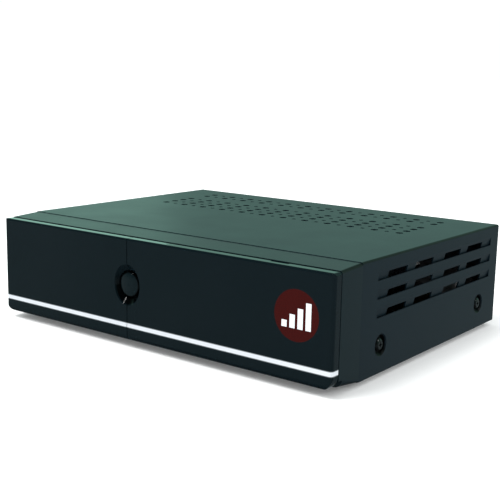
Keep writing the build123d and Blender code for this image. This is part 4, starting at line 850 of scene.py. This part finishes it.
def tube(tree, start, reach, radius, hole, sides=48):
    """Round tube with flat ends: a ring drawn out along Z from its start."""
    circles = tree.nodes.new("GeometryNodeJoinGeometry")
    for size in (radius, hole):
        circle = feed(tree, "GeometryNodeCurvePrimitiveCircle", Resolution=sides, Radius=size)
        tree.links.new(circle, circles.inputs[0])
    face = feed(tree, "GeometryNodeFillCurve", Curve=circles.outputs[0])
    way_out = feed(tree, "ShaderNodeCombineXYZ", Z=reach)
    wall = feed(tree, "GeometryNodeExtrudeMesh", Mesh=face, Offset=way_out, Individual=False)
    whole = tree.nodes.new("GeometryNodeJoinGeometry")
    tree.links.new(wall, whole.inputs[0])
    tree.links.new(feed(tree, "GeometryNodeFlipFaces", Mesh=face), whole.inputs[0])
    closed = feed(tree, "GeometryNodeMergeByDistance", Geometry=whole.outputs[0], Distance=weld)
    return lift(tree, closed, start)


depth_share = 0.45
barrel, barrel_in = geometry_tree(
    "threaded_barrel", "Radius", "Bore", "Length", "Root", "Flange Radius", "Flange", "Pitch",
)
thread_depth = calc(barrel, "MULTIPLY", barrel_in["Pitch"], depth_share)
wall_radius = calc(barrel, "SUBTRACT", barrel_in["Radius"], thread_depth)
past_flange = calc(barrel, "SUBTRACT", barrel_in["Length"], barrel_in["Flange"])
past_root = calc(barrel, "SUBTRACT", barrel_in["Length"], barrel_in["Root"])
threaded_length = calc(barrel, "SUBTRACT", past_root, barrel_in["Pitch"])
end_tree(
    barrel, barrel_in,
    tube(barrel, barrel_in["Flange"], past_flange, wall_radius, barrel_in["Bore"]),
    tube(barrel, 0.0, barrel_in["Flange"], barrel_in["Flange Radius"], barrel_in["Bore"]),
    wind(
        barrel, steps=40, turns=calc(barrel, "DIVIDE", threaded_length, barrel_in["Pitch"]),
        radius=wall_radius, height=threaded_length,
        start=calc(barrel, "MULTIPLY_ADD", barrel_in["Pitch"], 0.5, barrel_in["Root"]),
        ridge=thread_depth,
    ),
)

can_half, f_spread = 0.015, 0.0075
f_bore, insulator_start, insulator_short = 0.0032, 0.002, 0.003
low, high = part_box("f_connectors")
can_low, can_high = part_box("tuner_cans")
nut_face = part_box("f_nuts")[1][1]
f_level = middle("f_connectors")[1]
f_places = [
    (can_x + side * f_spread, f_level)
    for can_x in (can_low[0] + can_half, can_high[0] - can_half) for side in (-1, 1)
]
barrels = grow(
    "f_sockets_threaded", barrel, [((x, low[1], z), (0, 1, 0)) for x, z in f_places], nickel,
    Radius=0.0047, Bore=f_bore, Length=high[1] - low[1], Root=nut_face - low[1],
    Flange_Radius=(high[2] - low[2]) / 2, Flange=0.0015, Pitch=0.00079,
)
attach(barrels, "housing")
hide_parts("f_connectors")

plug, plug_in = geometry_tree("insulator_plug", "Radius", "Bore", "Length")
end_tree(
    plug, plug_in, tube(plug, 0.0, plug_in["Length"], plug_in["Radius"], plug_in["Bore"], sides=32),
)
insulator = finish(
    "white_insulator", deep=(0.5, 0.5, 0.47), light=(0.6, 0.6, 0.57), rough=(0.35, 0.5),
    grain_size=0.0008, relief=0.00001,
)
mouths = grow(
    "f_socket_insulators", plug,
    [((x, low[1] + insulator_start, z), (0, 1, 0)) for x, z in f_places], insulator,
    Radius=f_bore, Bore=0.0006, Length=high[1] - low[1] - insulator_short,
)
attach(mouths, "housing")

# ---------------------------------------------------------------- cinch sockets
# Nickel sleeves round moulded inserts: yellow for video, white and red for the sound, black for
# the digital output.
rca_colours = finish(
    "rca_plastic", deep=(0.012, 0.012, 0.013), light=(0.02, 0.02, 0.022), rough=(0.3, 0.42),
    grain_size=0.001, relief=0.00001,
)
tree = rca_colours.node_tree
rca_x, rca_z = offsets(tree, *middle("rca_inserts"))
for colour_name, side, level, ink in (
    ("yellow", "GREATER_THAN", "GREATER_THAN", (0.62, 0.42, 0.02)),
    ("white", "GREATER_THAN", "LESS_THAN", (0.6, 0.6, 0.57)),
    ("red", "LESS_THAN", "LESS_THAN", (0.4, 0.015, 0.012)),
):
    quarter = calc(tree, "MULTIPLY", calc(tree, side, rca_x, 0.0), calc(tree, level, rca_z, 0.0))
    print_on(rca_colours, quarter, ink, colour_name)
dress(rca_colours, "rca_inserts")

# ---------------------------------------------------------------- contacts in the ports
# Rows of gold-flashed springs: eight in the network port, ten in the video port and four in each
# port for a memory stick. They lie along the port's depth, a little narrower than their gaps.
comb, comb_in = geometry_tree("contact_comb", "Count", "Pitch", "Width", "Length", "Thickness")
gaps = calc(comb, "SUBTRACT", comb_in["Count"], 1.0)
row_start = calc(comb, "MULTIPLY", gaps, calc(comb, "MULTIPLY", comb_in["Pitch"], -0.5))
row = feed(
    comb, "GeometryNodeMeshLine", {"mode": "OFFSET"}, Count=comb_in["Count"],
    Start_Location=feed(comb, "ShaderNodeCombineXYZ", X=row_start),
    Offset=feed(comb, "ShaderNodeCombineXYZ", X=comb_in["Pitch"]),
)
spring_size = feed(
    comb, "ShaderNodeCombineXYZ",
    X=comb_in["Width"], Y=comb_in["Thickness"], Z=comb_in["Length"],
)
spring = feed(comb, "GeometryNodeMeshCube", Size=spring_size)
springs = feed(comb, "GeometryNodeInstanceOnPoints", Points=row, Instance=spring)
end_tree(comb, comb_in, springs)
gold = finish(
    "gold_flash", deep=(0.7, 0.5, 0.18), light=(0.82, 0.6, 0.24), rough=(0.2, 0.3),
    grain_size=0.0008, relief=0.000005, Metallic=1.0,
)
spring_share, spring_thickness = 0.45, 0.0003
# Name, port, number of springs, pitch, length, depth behind the port's mouth, height in the port
for row_name, port, count, port_pitch, reach, inside, raised in (
    ("network_contacts", "ethernet_port", 8, 0.00102, 0.008, 0.0085, 0.00285),
    ("hdmi_contacts", "hdmi_port", 10, 0.001, 0.006, 0.0055, 0.00385),
    ("rear_usb_contacts", "rear_usb_port", 4, 0.0025, 0.007, 0.0075, 0.0035),
    ("front_usb_contacts", "front_usb_port", 4, 0.0025, 0.007, 0.0075, 0.0035),
):
    low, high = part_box(port)
    at_depth = low[1] + inside if port == "front_usb_port" else high[1] - inside
    contacts = grow(
        row_name, comb, [((middle(port)[0], at_depth, low[2] + raised), (0, 1, 0))], gold,
        Count=count, Pitch=port_pitch, Width=port_pitch * spring_share, Length=reach,
        Thickness=spring_thickness,
    )
    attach(contacts, "housing")

# ---------------------------------------------------------------- mains rocker
# A moulded rocker, with the usual line and ring printed in white on its two halves.
rocker_black = finish(
    "rocker_black", deep=(0.012, 0.012, 0.013), light=(0.02, 0.02, 0.022), rough=(0.25, 0.38),
    grain_size=0.0008, relief=0.00001,
)
mark_share, mark_radius, line_reach = 0.55, 0.0016, 0.0019
rocker_low, rocker_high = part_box("rocker_switch")
mark_at = (rocker_high[0] - rocker_low[0]) / 2 * mark_share
tree = rocker_black.node_tree
rocker_x, rocker_z = offsets(tree, *middle("rocker_switch"))
ring_ink = ring(tree, calc(tree, "SUBTRACT", rocker_x, mark_at), rocker_z, mark_radius)
off_line = calc(tree, "ABSOLUTE", calc(tree, "ADD", rocker_x, mark_at))
line_room = calc(tree, "SUBTRACT", line_half, off_line)
end_room = calc(tree, "SUBTRACT", line_reach, calc(tree, "ABSOLUTE", rocker_z))
line_ink = calc(tree, "MULTIPLY", inked(tree, line_room), inked(tree, end_room))
on_back = calc(tree, "GREATER_THAN", parts_of(tree, "Normal")["Y"], 0.9)
marks = calc(tree, "MULTIPLY", calc(tree, "MAXIMUM", line_ink, ring_ink), on_back)
print_on(rocker_black, marks, (0.7, 0.7, 0.7), "white_marks")
dress(rocker_black, "rocker_switch")
